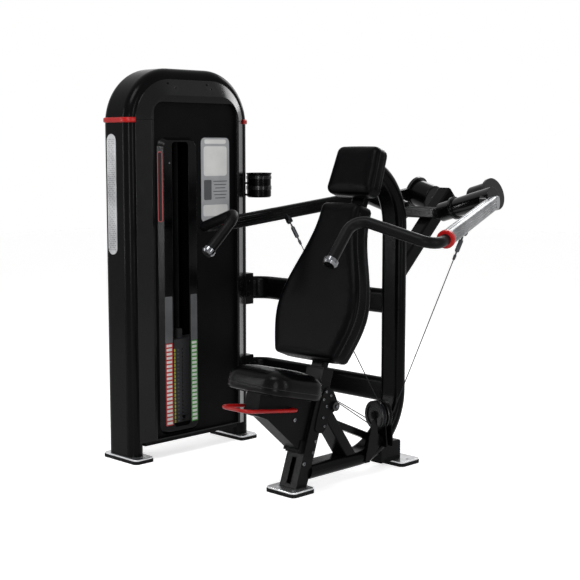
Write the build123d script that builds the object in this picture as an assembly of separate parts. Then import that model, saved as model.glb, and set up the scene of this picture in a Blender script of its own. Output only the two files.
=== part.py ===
from build123d import *
from math import acos, atan2, cos, degrees, hypot, radians, sin, sqrt, tan
import os

# Shoulder press machine with a side weight-stack tower, in millimetres.
# X points to the seated user's left, Y to the rear and Z up. The origin is on the floor, under
# the middle of the seat unit's front foot, so x = 0 is the seat's centre plane.

# ---------------------------------------------------------------- clearances
SEAM = 0.3          # gap kept between curved or sliding faces of separate pieces
RUN = 0.05          # radial running clearance of a shaft in its bearing

# ---------------------------------------------------------------- floor feet
PAD_T = 14.0        # rubber foot pad
PLATE_T = 8.0       # bright steel foot plate
FOOT_TOP = PAD_T + PLATE_T
ANCHOR_R = 7.0      # floor anchor hole
ANCHOR_IN = 24.0    # anchor hole centre in from the end of a tower foot

# ---------------------------------------------------------------- weight tower
TOWER_X = -913.5    # centre plane of the tower tube
TOWER_Y = 184.5     # centre of the tower, front to rear
TOWER_H = 1760.0
LEG_SPAN = 645.0    # leg centre to leg centre
LEG_W = 187.0       # flat-oval tube, along X
LEG_D = 80.0        # flat-oval tube, along Y
TUBE_WALL = 3.0
TOWER_BEND = 210.0  # centreline radius of the two top bends
TOWER_FOOT = (240.0, 104.0, 18.0)      # length, width, corner radius
TOWER_FOOT_OUT = 12.0                  # foot reach past the tube on the outer side

COVER_RISE = 40.0   # bevelled cover ring, how far it stands out of the tube nose
COVER_RING = 74.0   # width of the ring beside the legs
COVER_RING_TOP = 104.0
COVER_T = 4.0
COVER_BOTTOM = 80.0
WINDOW_R = 48.0     # corner of the opening inside the ring
CAP_Z = 1530.0      # joint between the cap and the lower cover
CAP_GAP = 1.5
PANEL_DROP = 16.0   # panel face below the front of the ring
PANEL_T = 3.0
PANEL_BOTTOM = 98.0

HOUSING_Y = 80.0    # selector housing, centre line
HOUSING_W = 234.0
HOUSING_RISE = 21.0
HOUSING_Z = (106.0, 1452.0)
SLOT_W = 96.0
SLOT_Z = (138.0, 1432.0)
INSERT = (62.0, 534.0, 4.0)
INSERT_AT = (-935.0, 1200.0)           # x, z of its centre
BAND_H = 23.0
BAND_OUT = 8.0
BAND_Z = 1528.0

# ---------------------------------------------------------------- weight stack
STACK_Y = 108.0
STACK_X = -846.0
PLATE_X = 80.0      # plate depth, towards the slot
PLATE_Y = 320.0
PITCH = 17.4
PLATES = 20
PIN_PLATE = 1       # the selector pin sits in this plate, counted up from 0
STACK_Z = 147.0     # underside of the lowest plate
HEAD_H = 40.0       # top plate
TRAY_Z = (62.0, 102.0)
ROD_R = 12.0
ROD_SPREAD = 120.0
ROD_TOP = 1500.0
RAIL_H = 30.0
STEM = 26.0
STEM_PLAY = 1.0
PIN_R = 4.5
PIN_PAST = 10.0     # pin tip past the stem centre
PIN_KNOB = (14.0, 24.0)
BELT_W = 36.0
BELT_T = 3.0
BELT_CLAMP_H = 46.0
PULLEY_R = 60.0
PULLEY_Z = 1600.0
BELT_JOIN = 1560.0  # where the lifting run meets the belt that passes over the pulleys
PULLEY_W = 40.0
AXLE_R = 10.0
BELT_REAR_Y = 370.0
TURN_R = 34.0       # small pulley that turns the belt out through the rear leg
TURN_Z = 329.0      # height of the bottom belt pulley's outgoing run

# ---------------------------------------------------------------- link beams
BEAM_H = 110.0
BEAM_W = 50.0
BEAM_X = -862.0     # where a beam leaves the tower's rear leg
BEAM_BEND = 90.0
BEAM_Z = (329.0, 729.0)
COLLAR = (74.0, 150.0, 34.0)

# ---------------------------------------------------------------- cup holder
CUP_R = 59.0
CUP_H = 118.0
CUP_WALL = 4.0
CUP_AT = (-843.0, 634.0, 1168.0)       # centre of its underside
CUP_ARM_GAP = 56.0

# ---------------------------------------------------------------- seat frame
FRAME_W = 120.0     # flat-oval tube, along X
FRAME_D = 60.0
BASE_Z = 75.0
UPRIGHT_Y = 650.0
BASE_BEND = 270.0
TOP_BEND = 290.0
TOP_BEND_Z = 1062.0
HEAD_TURN = 70.0    # the upright leans this far over at its top
SEAT_FOOT = (164.0, 128.0, 20.0)
REAR_FOOT_Y = 684.0
HEEL = (30.0, 540.0, 112.0)            # half width, front end and height of the rear heel
BRACE = (84.0, 50.0)
BRACE_TOP = (150.0, 352.0)             # y, z inside the post
BRACE_FOOT = (345.0, 80.0)             # y, z inside the base tube
TIE = (17.0, 15.0)                     # tie bar: half width and half depth
TIE_MID = (340.0, 211.0)
TIE_HALF = 168.0
TIE_TILT = -23.3

POST_LEAN = 19.0
POST_W = 96.0
POST_D = 60.0
POST_Y = -23.0      # front face of the post at floor level
POST_LEN = 528.0
POST_WALL = 4.0
POST_SLOT = (24.0, 40.0, 150.0)        # width and the two ends along the post

# ---------------------------------------------------------------- seat
SEAT_TILT = 13.5
SEAT_AT = (-88.0, 448.0)              # y, z of the middle of the cushion's seam
SEAT_W = 330.0
SEAT_L = 312.0
SEAT_UP = 66.0      # cushion above its seam
SEAT_DOWN = 27.0    # and below it
SEAT_R = 85.0
PAN_T = 5.0
PAN_IN = 38.0       # pan edge in from the cushion edge
CARRIAGE_S = (166.0, 478.0)            # the two ends of the sliding sleeve along the post
CARRIAGE_T = 6.0
SLEEVE_D = 54.0     # reach of the sleeve's sides along the post's flanks
SLIDE_PLAY = 0.4    # sleeve clearance on the post
GUSSET_X = 40.0
GUSSET_T = 5.0
GUSSET_S = (172.0, 386.0)              # where the gusset meets the sleeve
CLAMP = (44.0, 26.0)                   # half width and depth of the clamp block
CLAMP_S = (172.0, 222.0)
LOOP_R = 7.5
LOOP_HALF = 78.0
LOOP_BEND = 45.0
LOOP_FRONT = (-318.0, 396.0)           # y, z of the loop's crossbar
LOOP_PIVOT = (-35.0, 358.0)

# ---------------------------------------------------------------- back and head pads
BACK_LEAN = 20.0
BACK_FRONT = (80.0, 600.0)             # a point of the pads' front plane: y, z
BACK_T = 98.0
BACK_Z = (558.0, 1186.0)
BACK_FOOT = 170.0   # half width at the bottom edge
BACK_HIP = (198.0, 628.0)              # half width and the height it is at
BACK_WIDE = (224.0, 735.0)
BACK_NECK = (134.0, 1026.0)
BACK_TOP = 110.0    # half width at the top edge
HEAD_Z = (1226.0, 1428.0)
HEAD_HALF = (131.0, 118.0)
HEAD_T = 76.0
HEAD_UP = -22.0     # the head pad's face, forward of the back pad's face
SPINE = (70.0, 36.0)
SPINE_Z = (500.0, 1330.0)
PLATE_GAP = 0.5     # pads sit this far off the plates that carry them

# ---------------------------------------------------------------- pivot boom
BOOM_W = 70.0
BOOM_D = 68.0
BOOM_TILT = 43.7
BOOM_LOW = 845.0    # height of its centreline at the upright
BOOM_LEN = 515.0
BOOM_WALL = 4.0
PIVOT = (90.0, 855.0, 1118.0)
PIVOT_TILT = 16.0
SHAFT_R = 20.0
SHAFT_LEN = 262.0
CROSSBAR = 50.0

# ---------------------------------------------------------------- press arms
HUB_R = 42.0
HUB_S = (14.0, 300.0)
FLANGE_S = 128.0
LEVER_REAR = (380.0, 850.0, 1172.0)
LEVER_FRONT = (630.0, 197.0, 1064.0)
LEVER_W = 44.0
LEVER_H = 60.0
LEVER_R = 13.0
FLUTE_R = 2.6
RING_R = 36.0
RING_L = 22.0
HANDLE_R = 22.0
HANDLE_WALL = 3.0
HANDLE_LEAD = (664.0, 92.0, 1048.0)
HANDLE_CREST = (325.0, 20.0, 1140.0)
HANDLE_END = (344.0, -126.0, 987.0)
HANDLE_BENDS = (58.0, 62.0)
CAP_R = 28.0
CAP_L = 24.0
WEIGHT_R = 62.0
WEIGHT_L = 100.0
WEIGHT_RIM = 12.0   # carrying plate's round end, past the weight
WEIGHT_REACH = 218.0
WEIGHT_RISE = 41.0
WEIGHT_S = (140.0, 154.0)              # the carrying plate, along the pivot axis
LUG_AT = 0.447      # share of the lever's length from its front end
LUG_DROP = 48.0
LUG_HALF = 10.0
LUG_SLOT = 14.0
LUG_PIN_R = 3.5
LUG_BALL_R = 6.6
ARM_SWING = 40.0

# ---------------------------------------------------------------- arm cables
CABLE_R = 2.5
SHEAVE = (34.0, 515.0, 248.0)          # midway between the two sheaves
SHEAVE_R = 64.0
SHEAVE_PITCH = 57.0
SHEAVE_W = 22.0
SHEAVE_GAP = 34.0   # groove to groove
SHEAVE_YAW = 10.0
SHEAVE_AXLE = 9.0
CHEEK_T = 6.0
CHEEK_R = 42.0
CHEEK_FOOT = 116.0
CHEEK_FOOT_Z = 118.0
PORT = (-520.0, 300.0)                 # x, z where the cables enter the lower beam
PORT_SPREAD = 22.0
TURNBUCKLE = 128.0
ROD_END_R = 10.5
ROD_END_HALF = 3.5
ROD_END_NECK = 3.2


def put(name, *solids):
    """Write the solids of one sub-part."""
    shapes = [s for item in solids for s in item.solids()]
    shape = shapes[0] if len(shapes) == 1 else Compound(children=shapes)
    export_step(shape, f"parts/{name}.step")


def box(x, y, z):
    """A box between two values on each axis."""
    size = (x[1] - x[0], y[1] - y[0], z[1] - z[0])
    return Pos(x[0], y[0], z[0]) * Box(*size, align=(Align.MIN, Align.MIN, Align.MIN))


def vec(*values):
    return Vector(*values)


def rod(start, end, radius, taper=None):
    """A round bar from one point to another."""
    start, end = vec(*start), vec(*end)
    axis = end - start
    plane = Plane(origin=start, z_dir=axis)
    if taper is None:
        return extrude(plane * Circle(radius), axis.length)
    return loft([plane * Circle(radius), Plane(origin=end, z_dir=axis) * Circle(taper)])


def oval_tube(path, start, toward, across, wide, deep, wall):
    """Outer solid and hollow tube of a flat-oval section swept along a path."""
    plane = Plane(origin=start, x_dir=across, z_dir=toward)
    outer = sweep(plane * SlotOverall(wide, deep), path=path)
    inner = sweep(plane * SlotOverall(wide - 2 * wall, deep - 2 * wall), path=path)
    return outer, outer - inner


def slab(plane, outline, thickness):
    """A flat piece from its outline, grown along the plane's normal."""
    return extrude(plane * outline, thickness)


os.makedirs("parts", exist_ok=True)

# ================================================================ weight tower
leg_front = TOWER_Y - LEG_SPAN / 2
leg_rear = TOWER_Y + LEG_SPAN / 2
inner_front = leg_front + LEG_D / 2
inner_rear = leg_rear - LEG_D / 2
arch_z = TOWER_H - LEG_D / 2
nose_x = TOWER_X + LEG_W / 2
flat_half = (LEG_W - LEG_D) / 2

arch = FilletPolyline(
    (TOWER_X, leg_front, FOOT_TOP), (TOWER_X, leg_front, arch_z),
    (TOWER_X, leg_rear, arch_z), (TOWER_X, leg_rear, FOOT_TOP), radius=TOWER_BEND,
)
tower_outer, tower_tube = oval_tube(
    arch, (TOWER_X, leg_front, FOOT_TOP), (0, 0, 1), (1, 0, 0), LEG_W, LEG_D, TUBE_WALL
)

# Tray under the stack, and the rail that holds the tops of the guide rods.
tray_x = (STACK_X - 58, nose_x - 6)
tray = box(tray_x, (inner_front, inner_rear), TRAY_Z)
rail = box((STACK_X - 25, STACK_X + 21), (inner_front, inner_rear), (ROD_TOP - RAIL_H, ROD_TOP))
rod_y = (STACK_Y - ROD_SPREAD, STACK_Y + ROD_SPREAD)
rod_z = (TRAY_Z[0] + 6, ROD_TOP - 4)
guide_rods = [rod((STACK_X, y, rod_z[0]), (STACK_X, y, rod_z[1]), ROD_R) for y in rod_y]
belt_gap = box((STACK_X - BELT_W / 2 - 4, STACK_X + BELT_W / 2 + 4),
               (STACK_Y - 9, STACK_Y + 9), (ROD_TOP - RAIL_H - 1, ROD_TOP + 1))
belt_gap += Pos(0, BELT_REAR_Y - STACK_Y, 0) * belt_gap
rail -= belt_gap
for g in guide_rods:
    tray -= g
    rail -= g
leg_port = box((STACK_X - BELT_W / 2 - 4, STACK_X + BELT_W / 2 + 4), (inner_rear - 4, leg_rear),
               (TURN_Z - 8, TURN_Z + 8))
tower_frame = tower_tube + tray + rail - leg_port
put("tower_frame", tower_frame)
put("guide_rods", *guide_rods)

# Feet: a bright plate on a rubber pad under each leg.
foot_l, foot_w, foot_r = TOWER_FOOT
foot_x = TOWER_X - LEG_W / 2 - TOWER_FOOT_OUT + foot_l / 2
foot_plates, foot_pads, anchors = [], [], []
for y in (leg_front, leg_rear):
    outline = RectangleRounded(foot_l, foot_w, foot_r)
    hole_x = foot_l / 2 - ANCHOR_IN
    plate = slab(Plane((foot_x, y, PAD_T)), outline, PLATE_T)
    plate = fillet(plate.edges().group_by(Axis.Z)[-1], 2.0)
    pad = slab(Plane((foot_x, y, 0)), RectangleRounded(foot_l + 6, foot_w + 6, foot_r + 3), PAD_T)
    drill = rod((foot_x + hole_x, y, -1), (foot_x + hole_x, y, FOOT_TOP + 1), ANCHOR_R)
    foot_plates.append(plate - drill)
    foot_pads.append(pad - drill)
put("tower_foot_plates", *foot_plates)
put("tower_foot_pads", *foot_pads)


def arch_face(x, half, top, radius, bottom):
    """Arch outline about the tower's centre line, as a face in the plane at x."""
    plane = Plane((x, TOWER_Y, 0), x_dir=(0, 1, 0), z_dir=(1, 0, 0))
    ends = Polyline((half, top - radius), (half, bottom), (-half, bottom), (-half, top - radius))
    rise = RadiusArc((-half, top - radius), (-half + radius, top), radius)
    across = Line((-half + radius, top), (half - radius, top))
    fall = RadiusArc((half - radius, top), (half, top - radius), radius)
    return plane * make_face(ends + rise + across + fall)


# Cover ring: a thin moulding whose bevel climbs from the nose of the tube to a flat inner edge.
ring_back = nose_x + SEAM
ring_front = nose_x + COVER_RISE
outer_half, outer_top = LEG_SPAN / 2 - 1, arch_z - 8
inner_half, inner_top = outer_half - COVER_RING, outer_top - COVER_RING_TOP


def ring_solid(inset, back, front):
    """Bevelled mass of the cover between two planes, its faces moved in by inset."""
    step = inset * 1.2
    return loft([
        arch_face(back, outer_half - step, outer_top - step, TOWER_BEND - 12 - step, COVER_BOTTOM + step),
        arch_face(front, inner_half + 12 - step, inner_top + 30 - step, 110.0 - step,
                  PANEL_BOTTOM - 6 + step),
    ], ruled=True)


panel_x = ring_front - PANEL_DROP
opening = extrude(arch_face(ring_back - 40, inner_half, inner_top, WINDOW_R, PANEL_BOTTOM), 90)
opening_wall = extrude(
    arch_face(panel_x, inner_half + COVER_T, inner_top + COVER_T, WINDOW_R + COVER_T,
              PANEL_BOTTOM - COVER_T), PANEL_DROP)
ring_hollow = ring_solid(COVER_T, ring_back - 0.01, ring_front - COVER_T)
ring_mass = ring_solid(0, ring_back, ring_front)
cover = ring_mass - (ring_hollow - opening_wall) - opening
lip_z = (TURN_Z + 110, ROD_TOP - RAIL_H - 10)
lip_x = (nose_x - LEG_D / 2 - 30, ring_back)
for y in ((inner_front, inner_front + COVER_T), (inner_rear - COVER_T, inner_rear)):
    cover += box(lip_x, y, lip_z) + (box((ring_back, ring_front), y, lip_z) & ring_mass)
above = box((-1100, -600), (-400, 800), (CAP_Z + CAP_GAP / 2, 1900))
below = box((-1100, -600), (-400, 800), (0, CAP_Z - CAP_GAP / 2))
screw_holes = [rod((ring_back - 30, y, 1672), (ring_front + 9, y, 1672), 4.0)
               for y in (TOWER_Y - 105, TOWER_Y + 105)]
cap = cover & above
for h in screw_holes:
    cap -= h
put("tower_cap", cap)
put("tower_shroud", cover & below)

# Recessed front panel with the selector opening, and the ribbed sheet that closes the other side.
panel = extrude(arch_face(panel_x - PANEL_T, inner_half + 11, inner_top + 11, WINDOW_R + 11,
                          PANEL_BOTTOM - COVER_T), PANEL_T)
window = box((panel_x - 20, panel_x + 20), (HOUSING_Y - HOUSING_W / 2 + 26, HOUSING_Y + HOUSING_W / 2 - 26),
             (SLOT_Z[0] - 12, SLOT_Z[1] + 4))
panel -= window
put("tower_panel", panel)

back_x = TOWER_X - flat_half
sheet_half, sheet_top = LEG_SPAN / 2 - LEG_D / 2, TOWER_H - LEG_D - SEAM
back_sheet = extrude(
    arch_face(back_x - PANEL_T, sheet_half, sheet_top, TOWER_BEND - LEG_D / 2, COVER_BOTTOM), PANEL_T)
for z in range(420, 1400, 240):
    swage = slab(Plane((back_x - PANEL_T - 5, TOWER_Y, z), x_dir=(0, 1, 0), z_dir=(1, 0, 0)),
                 SlotOverall(420, 26), 5)
    swage = chamfer(swage.faces().sort_by(Axis.X)[0].edges(), 3)
    back_sheet += swage
put("tower_back_panel", back_sheet)

# Selector housing: a raised frame with bevelled flanks round the slot.
house_x = panel_x + HOUSING_RISE
house_mid = (HOUSING_Z[0] + HOUSING_Z[1]) / 2
house_h = HOUSING_Z[1] - HOUSING_Z[0]
face_w = HOUSING_W - 2 * HOUSING_RISE


def house_face(x, wide, high, radius):
    plane = Plane((x, HOUSING_Y, house_mid), x_dir=(0, 1, 0), z_dir=(1, 0, 0))
    return plane * RectangleRounded(wide, high, radius)


housing = loft([house_face(panel_x, HOUSING_W, house_h, 46),
                house_face(house_x - 2, face_w + 2, house_h - 26, 36),
                house_face(house_x, face_w - 2, house_h - 30, 34)], ruled=True)
housing -= loft([house_face(panel_x - 0.01, HOUSING_W - 9, house_h - 9, 42),
                 house_face(house_x - 3, face_w - 8, house_h - 36, 32)], ruled=True)
slot_mid = (SLOT_Z[0] + SLOT_Z[1]) / 2
slot_plane = Plane((panel_x - 30, HOUSING_Y, slot_mid), x_dir=(0, 1, 0), z_dir=(1, 0, 0))
housing -= extrude(slot_plane * RectangleRounded(SLOT_W, SLOT_Z[1] - SLOT_Z[0], 16), 80)
put("slot_housing", housing)

# Patterned insert on the front leg, and the red bands round the outer halves of both legs.
insert = slab(Plane((INSERT_AT[0], leg_front - LEG_D / 2, INSERT_AT[1]), x_dir=(1, 0, 0), z_dir=(0, -1, 0)),
              SlotOverall(INSERT[1], INSERT[0], rotation=90), INSERT[2])
insert = fillet(insert.faces().sort_by(Axis.Y)[0].edges(), 2.0)
put("leg_insert", insert)

bands = []
for y, side in ((leg_front, -1), (leg_rear, 1)):
    band = slab(Plane((TOWER_X, y, BAND_Z - BAND_H / 2), x_dir=(1, 0, 0)),
                SlotOverall(LEG_W + 2 * BAND_OUT, LEG_D + 2 * BAND_OUT), BAND_H)
    band = fillet(band.edges().filter_by(Plane.XY), 7.0)
    half = (y, y + side * 100) if side > 0 else (y + side * 100, y)
    band = (band & box((-1100, -700), half, (BAND_Z - 50, BAND_Z + 50))) - tower_outer
    bands.append(band)
put("red_bands", *bands)

# ================================================================ weight stack
rod_hole = ROD_R + RUN
plate_x = (STACK_X - PLATE_X / 2, STACK_X + PLATE_X / 2)
plate_y = (STACK_Y - PLATE_Y / 2, STACK_Y + PLATE_Y / 2)
stem_half = STEM / 2


def stack_plate(z, height, cored=True):
    """One cast plate with its guide holes, stem hole and selector hole."""
    plate = box(plate_x, plate_y, (z, z + height))
    plate = chamfer(plate.edges().filter_by(Axis.Z), 6)
    for y in rod_y:
        plate -= rod((STACK_X, y, z - 1), (STACK_X, y, z + height + 1), rod_hole)
    if cored:
        half = stem_half + STEM_PLAY
        plate -= box((STACK_X - half, STACK_X + half), (STACK_Y - half, STACK_Y + half),
                     (z - 1, z + height + 1))
        mid_z = z + height / 2
        plate -= rod((STACK_X, STACK_Y, mid_z), (plate_x[1] + 1, STACK_Y, mid_z), PIN_R + RUN)
    return plate


lifted = [stack_plate(STACK_Z + i * PITCH, PITCH) for i in range(PIN_PLATE, PLATES)]
resting = [stack_plate(STACK_Z + i * PITCH, PITCH) for i in range(PIN_PLATE)]
put("lifted_plates", *lifted)
put("resting_plates", *resting)

head_z = STACK_Z + PLATES * PITCH
head = stack_plate(head_z, HEAD_H, cored=False)
stem = box((STACK_X - stem_half, STACK_X + stem_half), (STACK_Y - stem_half, STACK_Y + stem_half),
           (STACK_Z + 3, head_z + 1))
for i in range(PLATES):
    z = STACK_Z + (i + 0.5) * PITCH
    stem -= rod((STACK_X - 20, STACK_Y, z), (STACK_X + 20, STACK_Y, z), PIN_R + RUN)
clamp = box((STACK_X - BELT_W / 2 - 5, STACK_X + BELT_W / 2 + 5), (STACK_Y - 14, STACK_Y + 14),
            (head_z + HEAD_H, head_z + HEAD_H + BELT_CLAMP_H))
clamp = fillet(clamp.edges().group_by(Axis.Z)[-1], 5)
belt_slot = box((STACK_X - BELT_W / 2, STACK_X + BELT_W / 2), (STACK_Y - BELT_T / 2, STACK_Y + BELT_T / 2),
                (head_z + HEAD_H + 8, head_z + HEAD_H + BELT_CLAMP_H + 1))
put("top_plate", head + stem + (clamp - belt_slot))

pin_z = STACK_Z + (PIN_PLATE + 0.5) * PITCH
pin_tip = STACK_X - PIN_PAST
knob_r, knob_l = PIN_KNOB
pin = rod((pin_tip, STACK_Y, pin_z), (plate_x[1] + 12, STACK_Y, pin_z), PIN_R)
knob = Plane((plate_x[1] + 8, STACK_Y, pin_z), x_dir=(0, 1, 0), z_dir=(1, 0, 0))
grip = loft([knob * Circle(knob_r * 0.55), knob.offset(knob_l * 0.5) * Circle(knob_r * 0.62),
             knob.offset(knob_l) * Circle(knob_r)])
put("selector_pin", pin + grip)

bumpers = []
for y in rod_y:
    bumper = rod((STACK_X, y, TRAY_Z[1]), (STACK_X, y, STACK_Z), 24, taper=20)
    bumpers.append(bumper - rod((STACK_X, y, TRAY_Z[1] - 1), (STACK_X, y, STACK_Z + 1), rod_hole + 0.5))
put("stack_bumpers", *bumpers)

# Belt: the rising run to the top pulley, and the return over the second pulley to the rear leg.
axle_off = PULLEY_R + BELT_T / 2
front_axle = STACK_Y + axle_off
rear_axle = BELT_REAR_Y - axle_off
turn_off = TURN_R + BELT_T / 2
turn_axle = (BELT_REAR_Y + turn_off, TURN_Z + turn_off)


def belt_run(points, radii):
    path = FilletPolyline(*[(STACK_X, y, z) for y, z in points], radius=radii)
    start, after = points[0], points[1]
    plane = Plane(origin=(STACK_X, *start), x_dir=(1, 0, 0),
                  z_dir=(0, after[0] - start[0], after[1] - start[1]))
    return sweep(plane * Rectangle(BELT_W, BELT_T), path=path)


clamp_in = head_z + HEAD_H + 8.5
lift_belt = box((STACK_X - BELT_W / 2, STACK_X + BELT_W / 2),
                (STACK_Y - BELT_T / 2 + 0.02, STACK_Y + BELT_T / 2 - 0.02), (clamp_in, BELT_JOIN))
put("lift_belt", lift_belt)
high = PULLEY_Z + axle_off
drive_belt = belt_run([(STACK_Y, BELT_JOIN), (STACK_Y, high), (BELT_REAR_Y, high), (BELT_REAR_Y, TURN_Z),
                       (leg_rear + 14, TURN_Z)], [axle_off, axle_off, turn_off])
put("drive_belt", drive_belt)


def belt_pulley(y, z, radius):
    """Idler with side flanges, dished faces and a bored hub."""
    plane = Plane((STACK_X - PULLEY_W / 2, y, z), x_dir=(0, 1, 0), z_dir=(1, 0, 0))
    disc = extrude(plane * Circle(radius - SEAM), PULLEY_W)
    for cut in (plane, plane.offset(PULLEY_W - 12)):
        disc -= extrude(cut * (Circle(radius - 9) - Circle(AXLE_R + 8)), 12)
    for at in (plane.offset(-3), plane.offset(PULLEY_W)):
        disc += extrude(at * (Circle(radius + 6) - Circle(radius - 9)), 3)
    return disc - extrude(plane.offset(-20) * Circle(AXLE_R + RUN), PULLEY_W + 40)


pulleys = {"front_pulley": (front_axle, PULLEY_Z, PULLEY_R), "rear_pulley": (rear_axle, PULLEY_Z, PULLEY_R),
           "turn_pulley": (*turn_axle, TURN_R)}
cheek_x = (STACK_X - PULLEY_W / 2 - 16, STACK_X + PULLEY_W / 2 + 8)
bridge_z = (TOWER_H - LEG_D - 7, TOWER_H - LEG_D)
top_y = (front_axle - 26, rear_axle + 26)
hanger = box((cheek_x[0], cheek_x[1] + 6), top_y, bridge_z)
turn_mount = box((cheek_x[0], cheek_x[0] + 6), (turn_axle[0] - 24, inner_rear),
                 (turn_axle[1] - 24, turn_axle[1] + 24))
for name, (y, z, radius) in pulleys.items():
    put(name, belt_pulley(y, z, radius))
    axle = rod((cheek_x[0], y, z), (cheek_x[1] + 6, y, z), AXLE_R)
    if radius == TURN_R:
        turn_mount += axle
    else:
        hanger += axle
for x in cheek_x:
    hanger += box((x, x + 6), top_y, (PULLEY_Z - 22, bridge_z[0]))
put("pulley_hanger", hanger - tower_outer, turn_mount)

# ================================================================ link beams
beam_bend = min(BEAM_BEND, UPRIGHT_Y - leg_rear - 8)
beam_solids = {}
for name, z in zip(("lower_beam", "upper_beam"), BEAM_Z):
    start = (BEAM_X, leg_rear, z)
    path = FilletPolyline(start, (BEAM_X, UPRIGHT_Y, z), (0, UPRIGHT_Y, z), radius=beam_bend)
    beam_solids[name] = oval_tube(path, start, (0, 1, 0), (0, 0, 1), BEAM_H, BEAM_W, TUBE_WALL)

# ================================================================ seat frame
turn = radians(HEAD_TURN)
reach = TOP_BEND * tan(turn / 2)
corner_z = TOP_BEND_Z + reach
tip = (UPRIGHT_Y - (reach + 1.5) * sin(turn), corner_z + (reach + 1.5) * cos(turn))
toe = (0, 45, BASE_Z)
spine_path = FilletPolyline(toe, (0, UPRIGHT_Y, BASE_Z), (0, UPRIGHT_Y, corner_z), (0, *tip),
                            radius=[BASE_BEND, TOP_BEND])
frame_outer, frame_tube = oval_tube(spine_path, toe, (0, 1, 0), (1, 0, 0), FRAME_W, FRAME_D, TUBE_WALL)

lean = radians(POST_LEAN)
post_axis = vec(0, sin(lean), cos(lean))
post_out = vec(0, -cos(lean), sin(lean))
post_base = vec(0, POST_Y, 0)


def on_post(s, n=0.0, x=0.0):
    """Point at s along the post's front face, n out of it and x across."""
    return post_base + post_axis * s + post_out * n + vec(x, 0, 0)


def post_box(x, n, s):
    start = on_post(s[0], (n[0] + n[1]) / 2, (x[0] + x[1]) / 2)
    plane = Plane(origin=start, x_dir=(1, 0, 0), z_dir=post_axis)
    return extrude(plane * Rectangle(x[1] - x[0], n[1] - n[0]), s[1] - s[0])


half_post = POST_W / 2
floor_cut = box((-400, 400), (-400, 400), (-200, FOOT_TOP))
post_outer = post_box((-half_post, half_post), (-POST_D, 0), (0, POST_LEN)) - floor_cut
post_inner = post_box((-half_post + POST_WALL, half_post - POST_WALL),
                      (-POST_D + POST_WALL, -POST_WALL), (-40, POST_LEN + 10))
post = post_outer - post_inner
slot_w, slot_a, slot_b = POST_SLOT
post -= post_box((-slot_w / 2, slot_w / 2), (-POST_WALL - 1, 1), (slot_a, slot_b))

back = radians(BACK_LEAN)
back_up = vec(0, sin(back), cos(back))
back_out = vec(0, -cos(back), sin(back))


def on_back(z, n=0.0):
    """Point of the pads' front plane at height z, moved n forward."""
    return vec(0, BACK_FRONT[0] + (z - BACK_FRONT[1]) * tan(back), z) + back_out * n


def back_plane(z, n=0.0):
    return Plane(origin=on_back(z, n), x_dir=(1, 0, 0), z_dir=back_out)


carry_t = 5.0
spine_w, spine_d = SPINE
spine_from, spine_to = (on_back(z, -BACK_T - PLATE_GAP - carry_t - spine_d / 2) for z in SPINE_Z)
spine_plane = Plane(origin=spine_from, x_dir=(1, 0, 0), z_dir=spine_to - spine_from)
spine = extrude(spine_plane * RectangleRounded(spine_w, spine_d, 8), (spine_to - spine_from).length)
spine -= extrude(spine_plane * RectangleRounded(spine_w - 8, spine_d - 8, 4), (spine_to - spine_from).length)
spine -= post_box((-200, 200), (-200, 200), (-100, POST_LEN)) + frame_outer
post_cap = post_box((-half_post, half_post), (-POST_D, 0), (POST_LEN, POST_LEN + 6))
head_back = HEAD_UP - HEAD_T - PLATE_GAP
head_plate = slab(back_plane(1322, head_back - carry_t), Rectangle(150, 160), carry_t)
head_plate += slab(back_plane(1262, head_back - 20), Rectangle(spine_w, 50), 20)
waist_plate = slab(back_plane(760, -BACK_T - PLATE_GAP - carry_t), Rectangle(220, 110), carry_t)

boom = radians(BOOM_TILT)
boom_axis = vec(0, cos(boom), sin(boom))
boom_plane = Plane(origin=(0, UPRIGHT_Y, BOOM_LOW), x_dir=(1, 0, 0), z_dir=boom_axis)
boom_outer = extrude(boom_plane * RectangleRounded(BOOM_W, BOOM_D, 10), BOOM_LEN)
boom_bore = RectangleRounded(BOOM_W - 2 * BOOM_WALL, BOOM_D - 2 * BOOM_WALL, 6)
boom_tube = boom_outer - extrude(boom_plane * boom_bore, BOOM_LEN - BOOM_WALL)
boom_tube -= frame_outer

for name, (outer, tube) in beam_solids.items():
    beam_solids[name] = (outer, tube - frame_outer - tower_outer)
port_front = UPRIGHT_Y - BEAM_W / 2
outer, tube = beam_solids["lower_beam"]
port_plane = Plane((PORT[0] + 14, port_front - 20, PORT[1]), x_dir=(1, 0, 0), z_dir=(0, 1, 0))
tube -= extrude(port_plane * SlotOverall(PORT_SPREAD + 62, 26), 30)
beam_solids["lower_beam"] = (outer, tube)
collar_w, collar_h, collar_d = COLLAR
for name, z in zip(("lower_beam", "upper_beam"), BEAM_Z):
    outer, tube = beam_solids[name]
    rear_face = leg_rear + LEG_D / 2
    block = box((BEAM_X - collar_w / 2, BEAM_X + collar_w / 2), (leg_rear + 8, rear_face + collar_d),
                (z - collar_h / 2, z + collar_h / 2))
    block = fillet(block.edges().group_by(Axis.Y)[-1], 7) - tower_outer - outer
    put(name, tube + block)

foot_len, foot_wid, foot_rad = SEAT_FOOT
seat_plates, seat_pads = [], []
for y in (0.0, REAR_FOOT_Y):
    plate = slab(Plane((0, y, PAD_T)), RectangleRounded(foot_len, foot_wid, foot_rad), PLATE_T)
    plate = fillet(plate.edges().group_by(Axis.Z)[-1], 2.0)
    pad = slab(Plane((0, y, 0)), RectangleRounded(foot_len + 6, foot_wid + 6, foot_rad + 3), PAD_T)
    drill_at = (foot_len / 2 - ANCHOR_IN, y - (foot_wid / 2 - ANCHOR_IN if y == 0 else 0))
    drill = rod((*drill_at, -1), (*drill_at, FOOT_TOP + 1), ANCHOR_R)
    seat_plates.append(plate - drill)
    seat_pads.append(pad - drill)
put("seat_foot_plates", *seat_plates)
put("seat_foot_pads", *seat_pads)

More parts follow.
